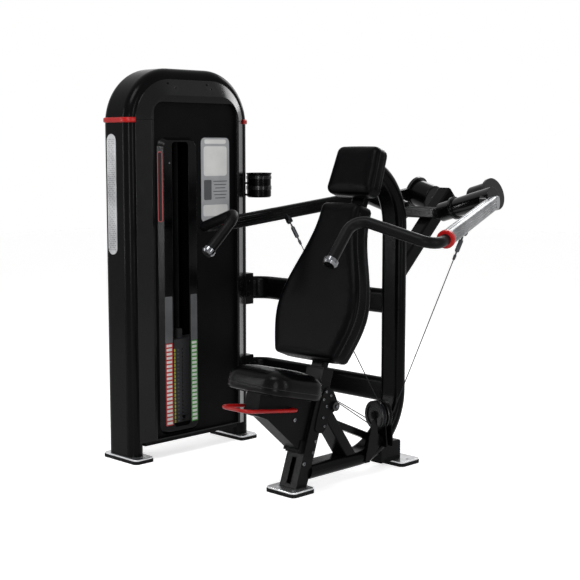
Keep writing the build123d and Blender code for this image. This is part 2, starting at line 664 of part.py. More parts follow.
heel = box((-HEEL[0], HEEL[0]), (HEEL[1], REAR_FOOT_Y - 14), (FOOT_TOP, HEEL[2]))
heel = fillet(heel.edges().filter_by(Axis.X).sort_by(Axis.Y)[-1], 12) - frame_outer
post_side = post_box((-FRAME_W, FRAME_W), (-POST_D, 40), (-100, 260))
put("seat_frame", frame_tube - post_side + heel)
put("seat_post", post)
back_spine = (spine + post_cap + head_plate + waist_plate - frame_outer).solids().sort_by(SortBy.VOLUME)[-1]
put("back_spine", back_spine)

# Strut from the base tube up to the post, and the tie bar from it to the sheave bracket.
brace_top, brace_foot = vec(0, *BRACE_TOP), vec(0, *BRACE_FOOT)
brace_plane = Plane(origin=brace_foot, x_dir=(1, 0, 0), z_dir=brace_top - brace_foot)
brace = extrude(brace_plane * RectangleRounded(BRACE[0], BRACE[1], 5), (brace_top - brace_foot).length)
tie = Pos(0, *TIE_MID) * Rot(TIE_TILT, 0, 0) * Box(2 * TIE[0], 2 * TIE_HALF, 2 * TIE[1])
brace = brace + tie - post_outer - frame_outer
put("brace", brace.solids().sort_by(SortBy.VOLUME)[-1])

# ================================================================ pivot boom and its shafts
tilt = radians(PIVOT_TILT)
pivot_axis = vec(cos(tilt), 0, sin(tilt))
pivot_up = vec(-sin(tilt), 0, cos(tilt))
pivot_at = vec(*PIVOT)


def on_pivot(s, rear=0.0, up=0.0):
    """Point at s along the left pivot axis, moved rear and up square to it."""
    return pivot_at + pivot_axis * s + vec(0, rear, 0) + pivot_up * up


def pivot_plane(s, rear=0.0, up=0.0):
    return Plane(origin=on_pivot(s, rear, up), x_dir=(0, 1, 0), z_dir=pivot_axis)


def mirrored(shape):
    return mirror(shape, about=Plane.YZ)


shaft = extrude(pivot_plane(-12) * Circle(SHAFT_R), SHAFT_LEN + 12)
shaft_collar = extrude(pivot_plane(0) * Circle(SHAFT_R + 8), HUB_S[0] - SEAM)
half_bar = CROSSBAR / 2
crossbar = box((-PIVOT[0] - 4, PIVOT[0] + 4), (PIVOT[1] - half_bar, PIVOT[1] + half_bar),
               (PIVOT[2] - half_bar, PIVOT[2] + half_bar))
crossbar = fillet(crossbar.edges().filter_by(Axis.X), 8)
boom_tube = (boom_tube - crossbar).solids().sort_by(Axis.Y)[-1]
put("pivot_boom", boom_tube)
crossbar += shaft + shaft_collar + mirrored(shaft + shaft_collar)
put("pivot_crossbar", crossbar)

# ================================================================ press arms
lever_rear, lever_front = vec(*LEVER_REAR), vec(*LEVER_FRONT)
lever_run = lever_front - lever_rear
lever_dir = lever_run.normalized()
level = vec(0, 0, 1).cross(lever_dir).normalized()
lever_up = lever_dir.cross(level)
lever_plane = Plane(origin=lever_rear, x_dir=level, z_dir=lever_dir)
lever_blank = extrude(lever_plane * RectangleRounded(LEVER_W, LEVER_H, LEVER_R), lever_run.length)
rear_round = Plane(origin=lever_rear - level * (LEVER_W / 2), x_dir=lever_dir, z_dir=level)
nose = extrude(rear_round * Circle(LEVER_H / 2), LEVER_W)
lever = lever_blank
for side in (-1, 1):
    for row in (-1, 0, 1):
        groove = lever_rear + level * (side * (LEVER_W / 2 + 0.6)) + lever_up * (row * 11.0)
        lever -= extrude(Plane(origin=groove, z_dir=lever_dir) * Circle(FLUTE_R), lever_run.length + 1)
    for row in (-1, 1):
        groove = lever_rear + lever_up * (side * (LEVER_H / 2 + 0.6)) + level * (row * 5.5)
        lever -= extrude(Plane(origin=groove, z_dir=lever_dir) * Circle(FLUTE_R), lever_run.length + 1)
lever += nose

carrier = extrude(pivot_plane(HUB_S[0]) * Circle(HUB_R), HUB_S[1] - HUB_S[0])
carrier += extrude(pivot_plane(FLANGE_S - 44) * Circle(HUB_R + 9), 12)
plate_s = WEIGHT_S
link_face = make_hull([*Circle(HUB_R - 6).edges(),
                       *(Pos(WEIGHT_REACH, WEIGHT_RISE) * Circle(HUB_R - 10)).edges()])
link_face += Pos(WEIGHT_REACH, WEIGHT_RISE) * Circle(WEIGHT_R + WEIGHT_RIM)
carrier += extrude(pivot_plane(plate_s[0]) * link_face, plate_s[1] - plate_s[0])
root_end = lever_rear + level * 0
carrier += extrude(Plane(origin=lever_rear - level * (LEVER_W / 2 + 30), x_dir=lever_dir, z_dir=level)
                   * RectangleRounded(64, 66, 20), 30)
carrier -= lever_blank + nose
carrier -= extrude(pivot_plane(HUB_S[0] - 5) * Circle(SHAFT_R + RUN), SHAFT_LEN - HUB_S[0] + 10)
carrier = carrier.solids().sort_by(SortBy.VOLUME)[-1]

weight_plane = pivot_plane(plate_s[0] - WEIGHT_L, WEIGHT_REACH, WEIGHT_RISE)
weight = extrude(weight_plane * Circle(WEIGHT_R), WEIGHT_L)
weight = fillet(weight.faces().sort_by(Axis.X)[0].edges(), 6)

ring = extrude(Plane(origin=lever_front - lever_dir * (RING_L - 6), z_dir=lever_dir) * Circle(RING_R), RING_L)
ring = fillet(ring.edges(), 5)
handle_path = FilletPolyline(LEVER_FRONT, HANDLE_LEAD, HANDLE_CREST, HANDLE_END, radius=list(HANDLE_BENDS))
lead_dir = vec(*HANDLE_LEAD) - lever_front
handle_plane = Plane(origin=LEVER_FRONT, z_dir=lead_dir)
handle_outer = sweep(handle_plane * Circle(HANDLE_R), path=handle_path)
handle = handle_outer - sweep(handle_plane * Circle(HANDLE_R - HANDLE_WALL), path=handle_path)
ring -= lever_blank + handle_outer
lever -= handle_outer
end_dir = (vec(*HANDLE_END) - vec(*HANDLE_CREST)).normalized()
end_plane = Plane(origin=HANDLE_END, z_dir=end_dir)
end_cap = revolve(Plane(origin=HANDLE_END, x_dir=end_plane.x_dir, z_dir=end_dir.cross(end_plane.x_dir) * -1)
                  * make_face(Polyline((0, 0), (CAP_R, 0), (CAP_R, CAP_L * 0.62), (CAP_R - 7, CAP_L),
                                       (0, CAP_L), (0, 0))), Axis(origin=HANDLE_END, direction=end_dir))

lug_root = lever_front - lever_run * LUG_AT
arm_parts = {"hub": carrier, "lever": lever, "ring": ring, "handle": handle, "end_cap": end_cap,
             "counterweight": weight}
for name, shape in arm_parts.items():
    put(f"left_{name}", shape)
    put(f"right_{name}", mirrored(shape))

# ================================================================ base sheaves and arm cables
yaw = radians(SHEAVE_YAW)
sheave_out = vec(-cos(yaw), sin(yaw), 0)        # level, in the sheaves' plane, towards the tower
sheave_axis = vec(sin(yaw), cos(yaw), 0)
sheave_mid = vec(*SHEAVE)
groove_r = CABLE_R + 0.5


def sheave_plane(along):
    return Plane(origin=sheave_mid + sheave_axis * along, x_dir=sheave_out, z_dir=sheave_axis)


def sheave(along):
    """Grooved cable wheel centred at this distance along the axle."""
    disc = extrude(sheave_plane(along - SHEAVE_W / 2) * Circle(SHEAVE_R), SHEAVE_W)
    disc = chamfer(disc.edges(), 2)
    lead = SHEAVE_R - SHEAVE_PITCH + groove_r
    plane = Plane(origin=sheave_mid + sheave_axis * along, x_dir=(0, 0, 1), z_dir=sheave_out)
    flare = make_face(Polyline((SHEAVE_PITCH - groove_r, -2.4), (SHEAVE_PITCH - groove_r, 2.4),
                               (SHEAVE_R + 1, 9), (SHEAVE_R + 1, -9), (SHEAVE_PITCH - groove_r, -2.4)))
    seat = Pos(SHEAVE_PITCH, 0) * Circle(groove_r)
    spin = Axis(origin=sheave_mid, direction=sheave_axis)
    disc -= revolve(plane * (flare + seat), spin)
    for end in (along - SHEAVE_W / 2, along + SHEAVE_W / 2 - 5):
        disc -= extrude(sheave_plane(end) * (Circle(SHEAVE_R - 16) - Circle(SHEAVE_AXLE + 9)), 5)
    return disc - extrude(sheave_plane(along - 30) * Circle(SHEAVE_AXLE + RUN), 60)


half_gap = SHEAVE_GAP / 2
put("base_sheaves", sheave(-half_gap), sheave(half_gap))

cheek_at = half_gap + SHEAVE_W / 2 + 2
foot_drop = SHEAVE[2] - CHEEK_FOOT_Z
cheek_foot = Pos(0, -foot_drop) * Rectangle(CHEEK_FOOT, 12)
cheek_face = make_hull([*Circle(CHEEK_R).edges(), *cheek_foot.edges()])
retained = half_gap + SHEAVE_W / 2 + SEAM
bracket = rod(sheave_mid - sheave_axis * (retained + 8), sheave_mid + sheave_axis * (cheek_at + CHEEK_T),
              SHEAVE_AXLE)
for along in (CHEEK_T / 2, cheek_at + CHEEK_T):
    plane = Plane(origin=sheave_mid + sheave_axis * along, x_dir=-sheave_out, z_dir=-sheave_axis)
    bracket += extrude(plane * cheek_face, CHEEK_T)
bracket += rod(sheave_mid - sheave_axis * (retained + 5), sheave_mid - sheave_axis * retained,
               SHEAVE_AXLE + 7)
leg_face = make_face(Polyline((438, 236), (466, 244), (474, 176), (520, 150), (420, 58), (392, 58),
                              (438, 236)))
for x in (-FRAME_W / 2 - CHEEK_T, FRAME_W / 2):
    bracket += extrude(Plane((x, 0, 0), x_dir=(0, 1, 0), z_dir=(1, 0, 0)) * leg_face, CHEEK_T)
bracket -= frame_outer
put("sheave_bracket", bracket.solids().sort_by(SortBy.VOLUME)[-1])


def wheel_point(along, angle):
    """Point of a sheave's pitch circle, its angle measured from the side away from the tower."""
    a = radians(angle)
    return sheave_mid + sheave_axis * along + (sheave_out * -cos(a) + vec(0, 0, sin(a))) * SHEAVE_PITCH


def touch_angle(along, point, side):
    """Angle at which a straight cable from a point touches the sheave."""
    off = point - (sheave_mid + sheave_axis * along)
    level_off, rise = -(off.dot(sheave_out)), off.Z
    return degrees(atan2(rise, level_off)) + side * degrees(acos(SHEAVE_PITCH / hypot(level_off, rise)))


press = Axis((0, 0, 0), -pivot_axis)


def swing_of_cable(pin, touch):
    """Directions of the lug's pin and of the eye round its ball.

    Seen from the arm, the cable's direction goes round a cone while the arm is pressed up. The eye
    tilts on the ball as much one way at rest as it does the other way with the arm up.
    """
    seen = []
    for share in (0, 0.5, 1):
        turn = share * ARM_SWING
        pressed = pivot_at + (pin - pivot_at).rotate(press, turn)
        seen.append((touch - pressed).normalized().rotate(press, -turn))
    rest, half, full = seen
    cone = (half - rest).cross(full - half).normalized()
    flat_rest, flat_full = rest - cone * rest.dot(cone), full - cone * full.dot(cone)
    whole = degrees(atan2(flat_rest.cross(flat_full).dot(cone), flat_rest.dot(flat_full)))
    eye_axis = (cone - rest * cone.dot(rest)).normalized()
    return eye_axis.rotate(Axis((0, 0, 0), cone), whole / 2), eye_axis


def cable_end(touch):
    """Lug, turnbuckle and straight cable of the left side, from where the cable leaves its sheave."""
    up = (lug_root - touch).normalized()
    pin = lug_root - up * LUG_DROP
    pin_dir, eye_axis = swing_of_cable(pin, touch)
    across = up.cross(pin_dir).normalized()
    plane = Plane(origin=pin - pin_dir * LUG_HALF, x_dir=across, z_dir=pin_dir)
    rise = LUG_DROP if plane.y_dir.dot(up) > 0 else -LUG_DROP
    blank = Circle(12) + Pos(0, rise / 2) * Rectangle(24, LUG_DROP)
    lug = extrude(plane * blank, 2 * LUG_HALF)
    lug -= extrude(plane.offset(LUG_HALF - LUG_SLOT / 2) * Rectangle(60, 2 * 14), LUG_SLOT)
    lug += extrude(plane.offset(-4) * Circle(LUG_PIN_R), 2 * LUG_HALF + 8)
    lug += Plane(origin=pin, x_dir=across, z_dir=pin_dir) * Sphere(LUG_BALL_R)
    lug = lug - lever_blank
    # rod end: a ring on the ball, with a neck down to the turnbuckle's threaded end
    ring_plane = Plane(origin=pin, x_dir=up, z_dir=eye_axis)
    ring_slab = Box(4 * ROD_END_R, 4 * ROD_END_R, 2 * ROD_END_HALF)
    eye = ring_plane * (Sphere(ROD_END_R) & ring_slab)
    eye += rod(pin - up * (ROD_END_R - 1.5), pin - up * 24, ROD_END_NECK)
    eye -= ring_plane * Sphere(LUG_BALL_R + RUN)
    core = ((20, 4.5), (34, 4.5), (34, 8.5), (38, 9.5), (84, 9.5), (88, 8.5), (88, 4.0), (104, 4.0),
            (106, 6.5), (TURNBUCKLE - 3, 5.5), (TURNBUCKLE, CABLE_R + 1))
    spindle = Plane(origin=pin, x_dir=eye_axis, z_dir=up.cross(eye_axis))
    # the spindle plane's second axis runs along the cable, away from the pin
    down = 1 if spindle.y_dir.dot(up) < 0 else -1
    outline = Polyline((0, down * core[0][0]), *[(r, down * d) for d, r in core], (0, down * TURNBUCKLE),
                       (0, down * core[0][0]))
    body = revolve(spindle * make_face(outline), Axis(origin=pin, direction=up))
    run = rod(touch + up * (2 * SEAM), pin - up * TURNBUCKLE, CABLE_R)
    return lug, eye + body, run


cable_tails = []
for name, along, flip in (("left", half_gap, False), ("right", -half_gap, True)):
    end = Vector(-lug_root.X, lug_root.Y, lug_root.Z) if flip else lug_root
    angle_in = touch_angle(along, end, -1)
    touch = wheel_point(along, angle_in)
    entry = vec(PORT[0] + (PORT_SPREAD / 2 if flip else -PORT_SPREAD / 2), port_front + 8, PORT[1])
    angle_out = touch_angle(along, entry, 1) - 360
    leave = wheel_point(along, angle_out)
    middle = wheel_point(along, (angle_in + angle_out) / 2)
    arc = ThreePointArc(touch, middle, leave)
    wrapped = sweep(Plane(origin=touch, z_dir=arc % 0) * Circle(CABLE_R), path=arc)
    back_step = (leave - entry).normalized() * 1.5
    cable_tails.append(wrapped + rod(leave + back_step, entry, CABLE_R - SEAM))
    lug, turnbuckle, run = cable_end(Vector(-touch.X, touch.Y, touch.Z) if flip else touch)
    for piece, shape in (("cable_lug", lug), ("turnbuckle", turnbuckle), ("cable_run", run)):
        put(f"{name}_{piece}", mirrored(shape) if flip else shape)
put("lower_cables", *cable_tails)

# ================================================================ seat
tip_up = radians(SEAT_TILT)
seat_up = vec(0, sin(tip_up), cos(tip_up))
seat_ahead = vec(0, -cos(tip_up), sin(tip_up))


def on_seat(ahead, up):
    return vec(0, *SEAT_AT) + seat_ahead * ahead + seat_up * up


def seat_plane(up):
    return Plane(origin=on_seat(0, up), x_dir=(1, 0, 0), z_dir=seat_up)


cushion = slab(seat_plane(-SEAT_DOWN), RectangleRounded(SEAT_W, SEAT_L, SEAT_R), SEAT_UP + SEAT_DOWN)
tops = cushion.faces().sort_by(Axis(origin=(0, 0, 0), direction=seat_up))
cushion = fillet(tops[-1].edges(), 36)
cushion = fillet(cushion.faces().sort_by(Axis(origin=(0, 0, 0), direction=seat_up))[0].edges(), 16)
put("seat_pad", cushion)

pan_top = -SEAT_DOWN - PLATE_GAP
pan_outline = RectangleRounded(SEAT_W - 2 * PAN_IN, SEAT_L - 2 * PAN_IN, 50)
pan = slab(seat_plane(pan_top - PAN_T), pan_outline, PAN_T)

sleeve_out = SLIDE_PLAY + CARRIAGE_T
half_sleeve = half_post + sleeve_out
sleeve = post_box((-half_sleeve, half_sleeve), (-SLEEVE_D, sleeve_out), CARRIAGE_S)
sleeve -= post_box((-half_post - SLIDE_PLAY, half_post + SLIDE_PLAY), (-POST_D - 20, SLIDE_PLAY),
                   (CARRIAGE_S[0] - 10, CARRIAGE_S[1] + 10))
front_line = on_post(GUSSET_S[0], sleeve_out), on_post(GUSSET_S[1], sleeve_out)
pan_low = pan_top - PAN_T
rim = [on_seat(112, pan_low), vec(0, -224, 358), vec(0, -168, 336), vec(0, -42, 225), front_line[0],
       front_line[1], on_seat(-126, pan_low)]
rim = [(p.Y, p.Z) for p in rim]
gusset_side = make_face(Polyline(*rim, rim[0]))
side_plane = Plane((-GUSSET_X, 0, 0), x_dir=(0, 1, 0), z_dir=(1, 0, 0))
gusset = extrude(side_plane * gusset_side, 2 * GUSSET_X)
gusset -= extrude(side_plane.offset(GUSSET_T) * offset(gusset_side, -GUSSET_T), 2 * (GUSSET_X - GUSSET_T))
clamp = post_box((-CLAMP[0], CLAMP[0]), (sleeve_out, sleeve_out + CLAMP[1]), CLAMP_S)
pivot_hole = rod((-100, *LOOP_PIVOT), (100, *LOOP_PIVOT), LOOP_R + RUN)
carriage = pan + gusset + sleeve + clamp - pivot_hole
put("seat_carriage", carriage)

loop_in = GUSSET_X - GUSSET_T - 8
loop_path = FilletPolyline(
    (loop_in, *LOOP_PIVOT), (LOOP_HALF, *LOOP_PIVOT), (LOOP_HALF, *LOOP_FRONT),
    (-LOOP_HALF, *LOOP_FRONT), (-LOOP_HALF, *LOOP_PIVOT), (-loop_in, *LOOP_PIVOT),
    radius=[20, LOOP_BEND, LOOP_BEND, 20],
)
loop = sweep(Plane(origin=(loop_in, *LOOP_PIVOT), z_dir=(1, 0, 0)) * Circle(LOOP_R), path=loop_path)
put("release_lever", loop)

# ================================================================ back and head pads
def up_back(z):
    return (z - BACK_FRONT[1]) / cos(back)


def pad_outline(stations):
    """Symmetric pad outline from half widths at heights along the leaning plane."""
    right = [(half, up_back(z)) for half, z in stations]
    left = [(-x, y) for x, y in reversed(right)]
    edges = Spline(*right) if len(right) > 2 else Line(*right)
    other = Spline(*left) if len(left) > 2 else Line(*left)
    return make_face(Line(left[-1], right[0]) + edges + Line(right[-1], left[0]) + other)


pad_base = Plane(origin=on_back(BACK_FRONT[1]), x_dir=(1, 0, 0), z_dir=back_out)
back_stations = [(BACK_FOOT, BACK_Z[0]), BACK_HIP, BACK_WIDE, BACK_NECK, (BACK_TOP, BACK_Z[1])]
head_stations = [(HEAD_HALF[0], HEAD_Z[0]), (HEAD_HALF[1], HEAD_Z[1])]
for name, stations, face_at, thick, corner, crown in (
        ("back_pad", back_stations, 0.0, BACK_T, 26, 22),
        ("head_pad", head_stations, HEAD_UP, HEAD_T, 34, 24)):
    outline = pad_outline(stations)
    outline = fillet(outline.vertices(), corner)
    pad = extrude(pad_base.offset(face_at - thick) * outline, thick)
    towards = Axis(origin=(0, 0, 0), direction=back_out)
    pad = fillet(pad.faces().sort_by(towards)[-1].edges(), crown)
    pad = fillet(pad.faces().sort_by(towards)[0].edges(), 10)
    put(name, pad)

# ================================================================ cup holder
cup_x, cup_y, cup_z = CUP_AT
wall_in = CUP_R - CUP_WALL
profile = make_face(Polyline((8, 0), (CUP_R - 6, 0), (CUP_R, 6), (CUP_R, CUP_H - 9), (CUP_R + 3, CUP_H - 6),
                             (CUP_R + 3, CUP_H), (wall_in, CUP_H), (wall_in, 5), (8, 5), (8, 0)))
cup = revolve(Plane.XZ * profile, Axis.Z)
cup -= box((-11, 11), (0, CUP_R + 10), (38, CUP_H + 1))
cup -= Pos(0, CUP_R, 38) * Rot(90, 0, 0) * Cylinder(11, 40)
cup = Pos(cup_x, cup_y, cup_z) * Rot(0, 0, -45) * cup
bracket_y = leg_rear + LEG_D / 2
holder = box((-908, -866), (bracket_y, bracket_y + 6), (cup_z - 6, cup_z + CUP_H - 8))
for z in (cup_z + 8, cup_z + 8 + CUP_ARM_GAP):
    arm = box((-892, -868), (bracket_y + 4, cup_y), (z, z + 9))
    arm += box((-892, cup_x), (cup_y - 26, cup_y), (z, z + 9))
    holder += arm
holder -= Pos(cup_x, cup_y, cup_z - 1) * Cylinder(CUP_R - 1, 400, align=(Align.CENTER,) * 2 + (Align.MIN,))
put("cup_holder", cup + holder)
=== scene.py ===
import math

import bmesh
import bpy
from mathutils import Matrix, Vector
from mathutils.bvhtree import BVHTree


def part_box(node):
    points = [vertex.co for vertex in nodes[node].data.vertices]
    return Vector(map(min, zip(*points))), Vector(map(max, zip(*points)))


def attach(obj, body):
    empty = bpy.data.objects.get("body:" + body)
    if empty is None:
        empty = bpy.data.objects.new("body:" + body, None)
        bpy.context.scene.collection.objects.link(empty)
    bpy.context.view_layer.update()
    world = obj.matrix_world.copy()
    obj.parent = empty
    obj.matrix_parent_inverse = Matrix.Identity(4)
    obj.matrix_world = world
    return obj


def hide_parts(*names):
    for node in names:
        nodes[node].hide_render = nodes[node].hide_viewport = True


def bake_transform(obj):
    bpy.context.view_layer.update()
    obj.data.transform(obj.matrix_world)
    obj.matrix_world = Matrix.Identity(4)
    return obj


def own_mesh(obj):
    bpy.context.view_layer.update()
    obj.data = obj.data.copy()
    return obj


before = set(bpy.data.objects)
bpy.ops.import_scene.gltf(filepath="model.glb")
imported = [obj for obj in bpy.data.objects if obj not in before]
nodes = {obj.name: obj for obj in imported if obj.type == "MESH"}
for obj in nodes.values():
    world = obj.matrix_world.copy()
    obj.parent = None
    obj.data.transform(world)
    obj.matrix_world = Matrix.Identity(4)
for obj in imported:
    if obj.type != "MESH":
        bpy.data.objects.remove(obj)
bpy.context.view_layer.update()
scene = bpy.context.scene


# ------------------------------------------------------------------ camera
def aim(location, azimuth, pitch, lens):
    """Camera at location, looking round from the front by azimuth and down by pitch, in degrees."""
    data = bpy.data.cameras.new("camera")
    data.lens, data.sensor_width, data.clip_end = lens, 36.0, 50.0
    camera = bpy.data.objects.new("camera", data)
    scene.collection.objects.link(camera)
    camera.location = location
    camera.rotation_euler = (math.radians(90 - pitch), 0, math.radians(azimuth))
    scene.camera = camera


aim((3.4291, -3.4543, 1.408), 44.8, 6.7, 75.35)


# ------------------------------------------------------------------ materials
def tone(r, g, b):
    """An 8-bit display colour as linear RGBA."""
    def lin(v):
        v /= 255.0
        return v / 12.92 if v <= 0.04045 else ((v + 0.055) / 1.055) ** 2.4
    return (lin(r), lin(g), lin(b), 1.0)


class Finish:
    """A Principled material whose colour, roughness and relief come from procedural textures."""

    def __init__(self, name, dark, light, rough, metallic=0.0, specular=0.5, **sockets):
        self.mat = bpy.data.materials.new(name)
        self.mat.use_nodes = True
        self.tree = self.mat.node_tree
        self.shader = self.tree.nodes["Principled BSDF"]
        self.coords = self.add("ShaderNodeTexCoord")
        self.shader.inputs["Metallic"].default_value = metallic
        self.shader.inputs["Specular IOR Level"].default_value = specular
        for key, value in sockets.items():
            self.shader.inputs[key.replace("_", " ")].default_value = value
        cloud = self.noise(9.0, 4.0)
        ramp = self.add("ShaderNodeValToRGB")
        ramp.color_ramp.elements[0].position, ramp.color_ramp.elements[0].color = 0.3, dark
        ramp.color_ramp.elements[1].position, ramp.color_ramp.elements[1].color = 0.7, light
        self.link(cloud, "Fac", ramp, "Fac")
        self.colour = (ramp, "Color")
        self.link(ramp, "Color", self.shader, "Base Color")
        smear = self.noise(23.0, 3.0)
        spread = self.add("ShaderNodeMapRange")
        spread.inputs["To Min"].default_value, spread.inputs["To Max"].default_value = rough
        self.link(smear, "Fac", spread, "Value")
        self.link(spread, "Result", self.shader, "Roughness")
        self.normal = None

    def add(self, kind):
        return self.tree.nodes.new(kind)

    def link(self, a, out, b, into):
        self.tree.links.new(a.outputs[out], b.inputs[into])

    def noise(self, scale, detail):
        node = self.add("ShaderNodeTexNoise")
        node.inputs["Scale"].default_value = scale
        node.inputs["Detail"].default_value = detail
        self.link(self.coords, "Object", node, "Vector")
        return node

    def relief(self, source, out, depth, strength=1.0):
        """Adds a bump of that depth in metres on top of the ones already there."""
        bump = self.add("ShaderNodeBump")
        bump.inputs["Distance"].default_value = depth
        bump.inputs["Strength"].default_value = strength
        self.link(source, out, bump, "Height")
        if self.normal:
            self.link(self.normal, "Normal", bump, "Normal")
        self.link(bump, "Normal", self.shader, "Normal")
        self.normal = bump
        return self

    def soft_edges(self, radius):
        """Edges that shade as if they were rounded by that radius."""
        edge = self.add("ShaderNodeBevel")
        edge.samples = 4
        edge.inputs["Radius"].default_value = radius
        self.link(edge, "Normal", self.shader, "Normal")
        self.normal = edge
        return self

    def grain(self, scale, depth, strength=1.0):
        return self.relief(self.noise(scale, 2.0), "Fac", depth, strength)

    def pebble(self, scale, depth, strength=1.0):
        """Leather-like cells."""
        cells = self.add("ShaderNodeTexVoronoi")
        cells.inputs["Scale"].default_value = scale
        self.link(self.coords, "Object", cells, "Vector")
        return self.relief(cells, "Distance", depth, strength)

    def stripes(self, scale, depth, direction="Z", strength=1.0, distort=0.0):
        wave = self.add("ShaderNodeTexWave")
        wave.bands_direction = direction
        wave.inputs["Scale"].default_value = scale
        wave.inputs["Distortion"].default_value = distort
        self.link(self.coords, "Object", wave, "Vector")
        return self.relief(wave, "Fac", depth, strength)

    def painted_edge_highlight(self, colour, amount):
        """Convex edges, found by pointiness, painted in another colour: a painted highlight along them."""
        edge = self.add("ShaderNodeNewGeometry")
        ramp = self.add("ShaderNodeValToRGB")
        ramp.color_ramp.elements[0].position, ramp.color_ramp.elements[0].color = 0.53, (0, 0, 0, 1)
        ramp.color_ramp.elements[1].position = 0.60
        ramp.color_ramp.elements[1].color = (amount, amount, amount, 1)
        mix = self.add("ShaderNodeMix")
        mix.data_type = "RGBA"
        self.link(edge, "Pointiness", ramp, "Fac")
        self.tree.links.new(ramp.outputs["Color"], mix.inputs["Factor"])
        self.tree.links.new(self.colour[0].outputs[self.colour[1]], mix.inputs["A"])
        mix.inputs["B"].default_value = colour
        self.tree.links.new(mix.outputs["Result"], self.shader.inputs["Base Color"])
        return self


BLACK, SOOT, PAINTED_HIGHLIGHT_GREY = tone(2, 2, 3), tone(5, 5, 6), tone(14, 14, 15)
frame_black = Finish("frame_black", BLACK, SOOT, (0.15, 0.24), specular=0.040)
# its lighter edge colour is a painted highlight
frame_black.soft_edges(0.0035).grain(420, 0.0003, 0.3).painted_edge_highlight(PAINTED_HIGHLIGHT_GREY, 0.6)
arm_black = Finish("arm_black", BLACK, SOOT, (0.16, 0.25), specular=0.060).grain(420, 0.0003, 0.35)
cover_black = Finish("cover_black", BLACK, SOOT, (0.16, 0.25), specular=0.13)
# its lighter edge colour is a painted highlight
cover_black.soft_edges(0.003).grain(900, 0.0002, 0.35).painted_edge_highlight(PAINTED_HIGHLIGHT_GREY, 0.8)
moulding = Finish("moulding", BLACK, SOOT, (0.12, 0.20), specular=0.09)
moulding.soft_edges(0.002).grain(1100, 0.0002, 0.35)
hub_black = Finish("hub_black", BLACK, SOOT, (0.12, 0.22), specular=0.20)
# its lighter edge colour is a painted highlight
hub_black.soft_edges(0.003).grain(420, 0.0003, 0.35).painted_edge_highlight(PAINTED_HIGHLIGHT_GREY, 0.8)
carriage_black = Finish("carriage_black", BLACK, SOOT, (0.30, 0.42), specular=0.030)
# its lighter edge colour is a painted highlight
carriage_black.soft_edges(0.003).grain(700, 0.0003, 0.4).painted_edge_highlight(PAINTED_HIGHLIGHT_GREY, 0.8)
panel_grey = Finish("panel_grey", BLACK, SOOT, (0.42, 0.52), specular=0.040).grain(1400, 0.0002, 0.5)
red_trim = Finish("red_trim", tone(134, 11, 10), tone(152, 16, 14), (0.24, 0.34), specular=0.18)
red_trim.grain(700, 0.0002, 0.3)
loop_red = Finish("loop_red", tone(122, 12, 12), tone(142, 16, 15), (0.24, 0.34), specular=0.15)
loop_red.grain(700, 0.0002, 0.3)
bright_plate = Finish("bright_plate", tone(150, 151, 153), tone(205, 205, 207), (0.16, 0.32), metallic=0.9)
bright_plate.soft_edges(0.002).grain(600, 0.0002, 0.4)
rubber = Finish("rubber", tone(8, 8, 9), tone(14, 14, 15), (0.60, 0.75), specular=0.08).grain(900, 0.0004, 0.7)
chrome = Finish("chrome", tone(70, 71, 74), tone(112, 113, 116), (0.10, 0.20), metallic=1.0)
chrome.grain(260, 0.0002, 0.2)
steel = Finish("steel", tone(62, 64, 67), tone(104, 105, 108), (0.20, 0.34), metallic=1.0)
steel.grain(600, 0.0002, 0.4)
dark_steel = Finish("dark_steel", tone(30, 31, 33), tone(66, 67, 70), (0.22, 0.36), metallic=1.0)
dark_steel.grain(600, 0.0002, 0.4)
iron = Finish("iron", tone(9, 9, 10), tone(16, 16, 17), (0.34, 0.48), specular=0.12)
# the lighter grey on the plates' edges is a painted highlight
iron.grain(500, 0.0004, 0.6).painted_edge_highlight(tone(48, 48, 50), 0.8)
weight_black = Finish("weight_black", BLACK, SOOT, (0.14, 0.22), specular=0.09).grain(500, 0.0003, 0.4)
webbing = Finish("webbing", tone(10, 10, 11), tone(18, 18, 19), (0.6, 0.75), specular=0.08)
webbing.stripes(420, 0.0005, "DIAGONAL", 0.6)
wheel = Finish("wheel", tone(10, 10, 11), tone(20, 20, 22), (0.16, 0.26), specular=0.26)
wheel.grain(700, 0.0003, 0.5)
cable_steel = Finish("cable_steel", tone(12, 12, 13), tone(30, 31, 33), (0.34, 0.48), specular=0.12)
cable_steel.stripes(300, 0.0006, "DIAGONAL", 0.7)
vinyl = Finish("vinyl", tone(1, 1, 2), tone(3, 3, 4), (0.26, 0.36), specular=0.032)
vinyl.pebble(520, 0.0005, 0.4).grain(60, 0.0015, 0.12)
seat_vinyl = Finish("seat_vinyl", tone(2, 2, 3), tone(4, 4, 5), (0.20, 0.30), specular=0.060)
seat_vinyl.pebble(520, 0.0004, 0.3)
piping = Finish("piping", tone(5, 5, 6), tone(10, 10, 11), (0.30, 0.40), specular=0.12).grain(500, 0.0004, 0.5)
thread = Finish("thread", tone(20, 20, 21), tone(30, 30, 31), (0.6, 0.7), specular=0.10).grain(2400, 0.0002, 0.5)
alloy = Finish("alloy", tone(62, 64, 67), tone(124, 125, 128), (0.26, 0.38), metallic=1.0)
alloy.grain(90, 0.0008, 0.35).grain(600, 0.0002, 0.3)
grip = Finish("grip", tone(3, 3, 4), tone(7, 7, 8), (0.34, 0.46), specular=0.06).pebble(900, 0.0003, 0.5)
pale_insert = Finish("pale_insert", tone(140, 141, 143), tone(178, 179, 181), (0.14, 0.24), specular=0.45)
pale_insert.grain(500, 0.0002, 0.3)
fleck = Finish("fleck", tone(44, 46, 49), tone(84, 85, 88), (0.35, 0.45), specular=0.3).grain(900, 0.0001, 0.3)


def label(name, dark, light, specular=0.25):
    return Finish(name, tone(*dark), tone(*light), (0.36, 0.48), specular=specular).grain(1500, 0.0001, 0.3)


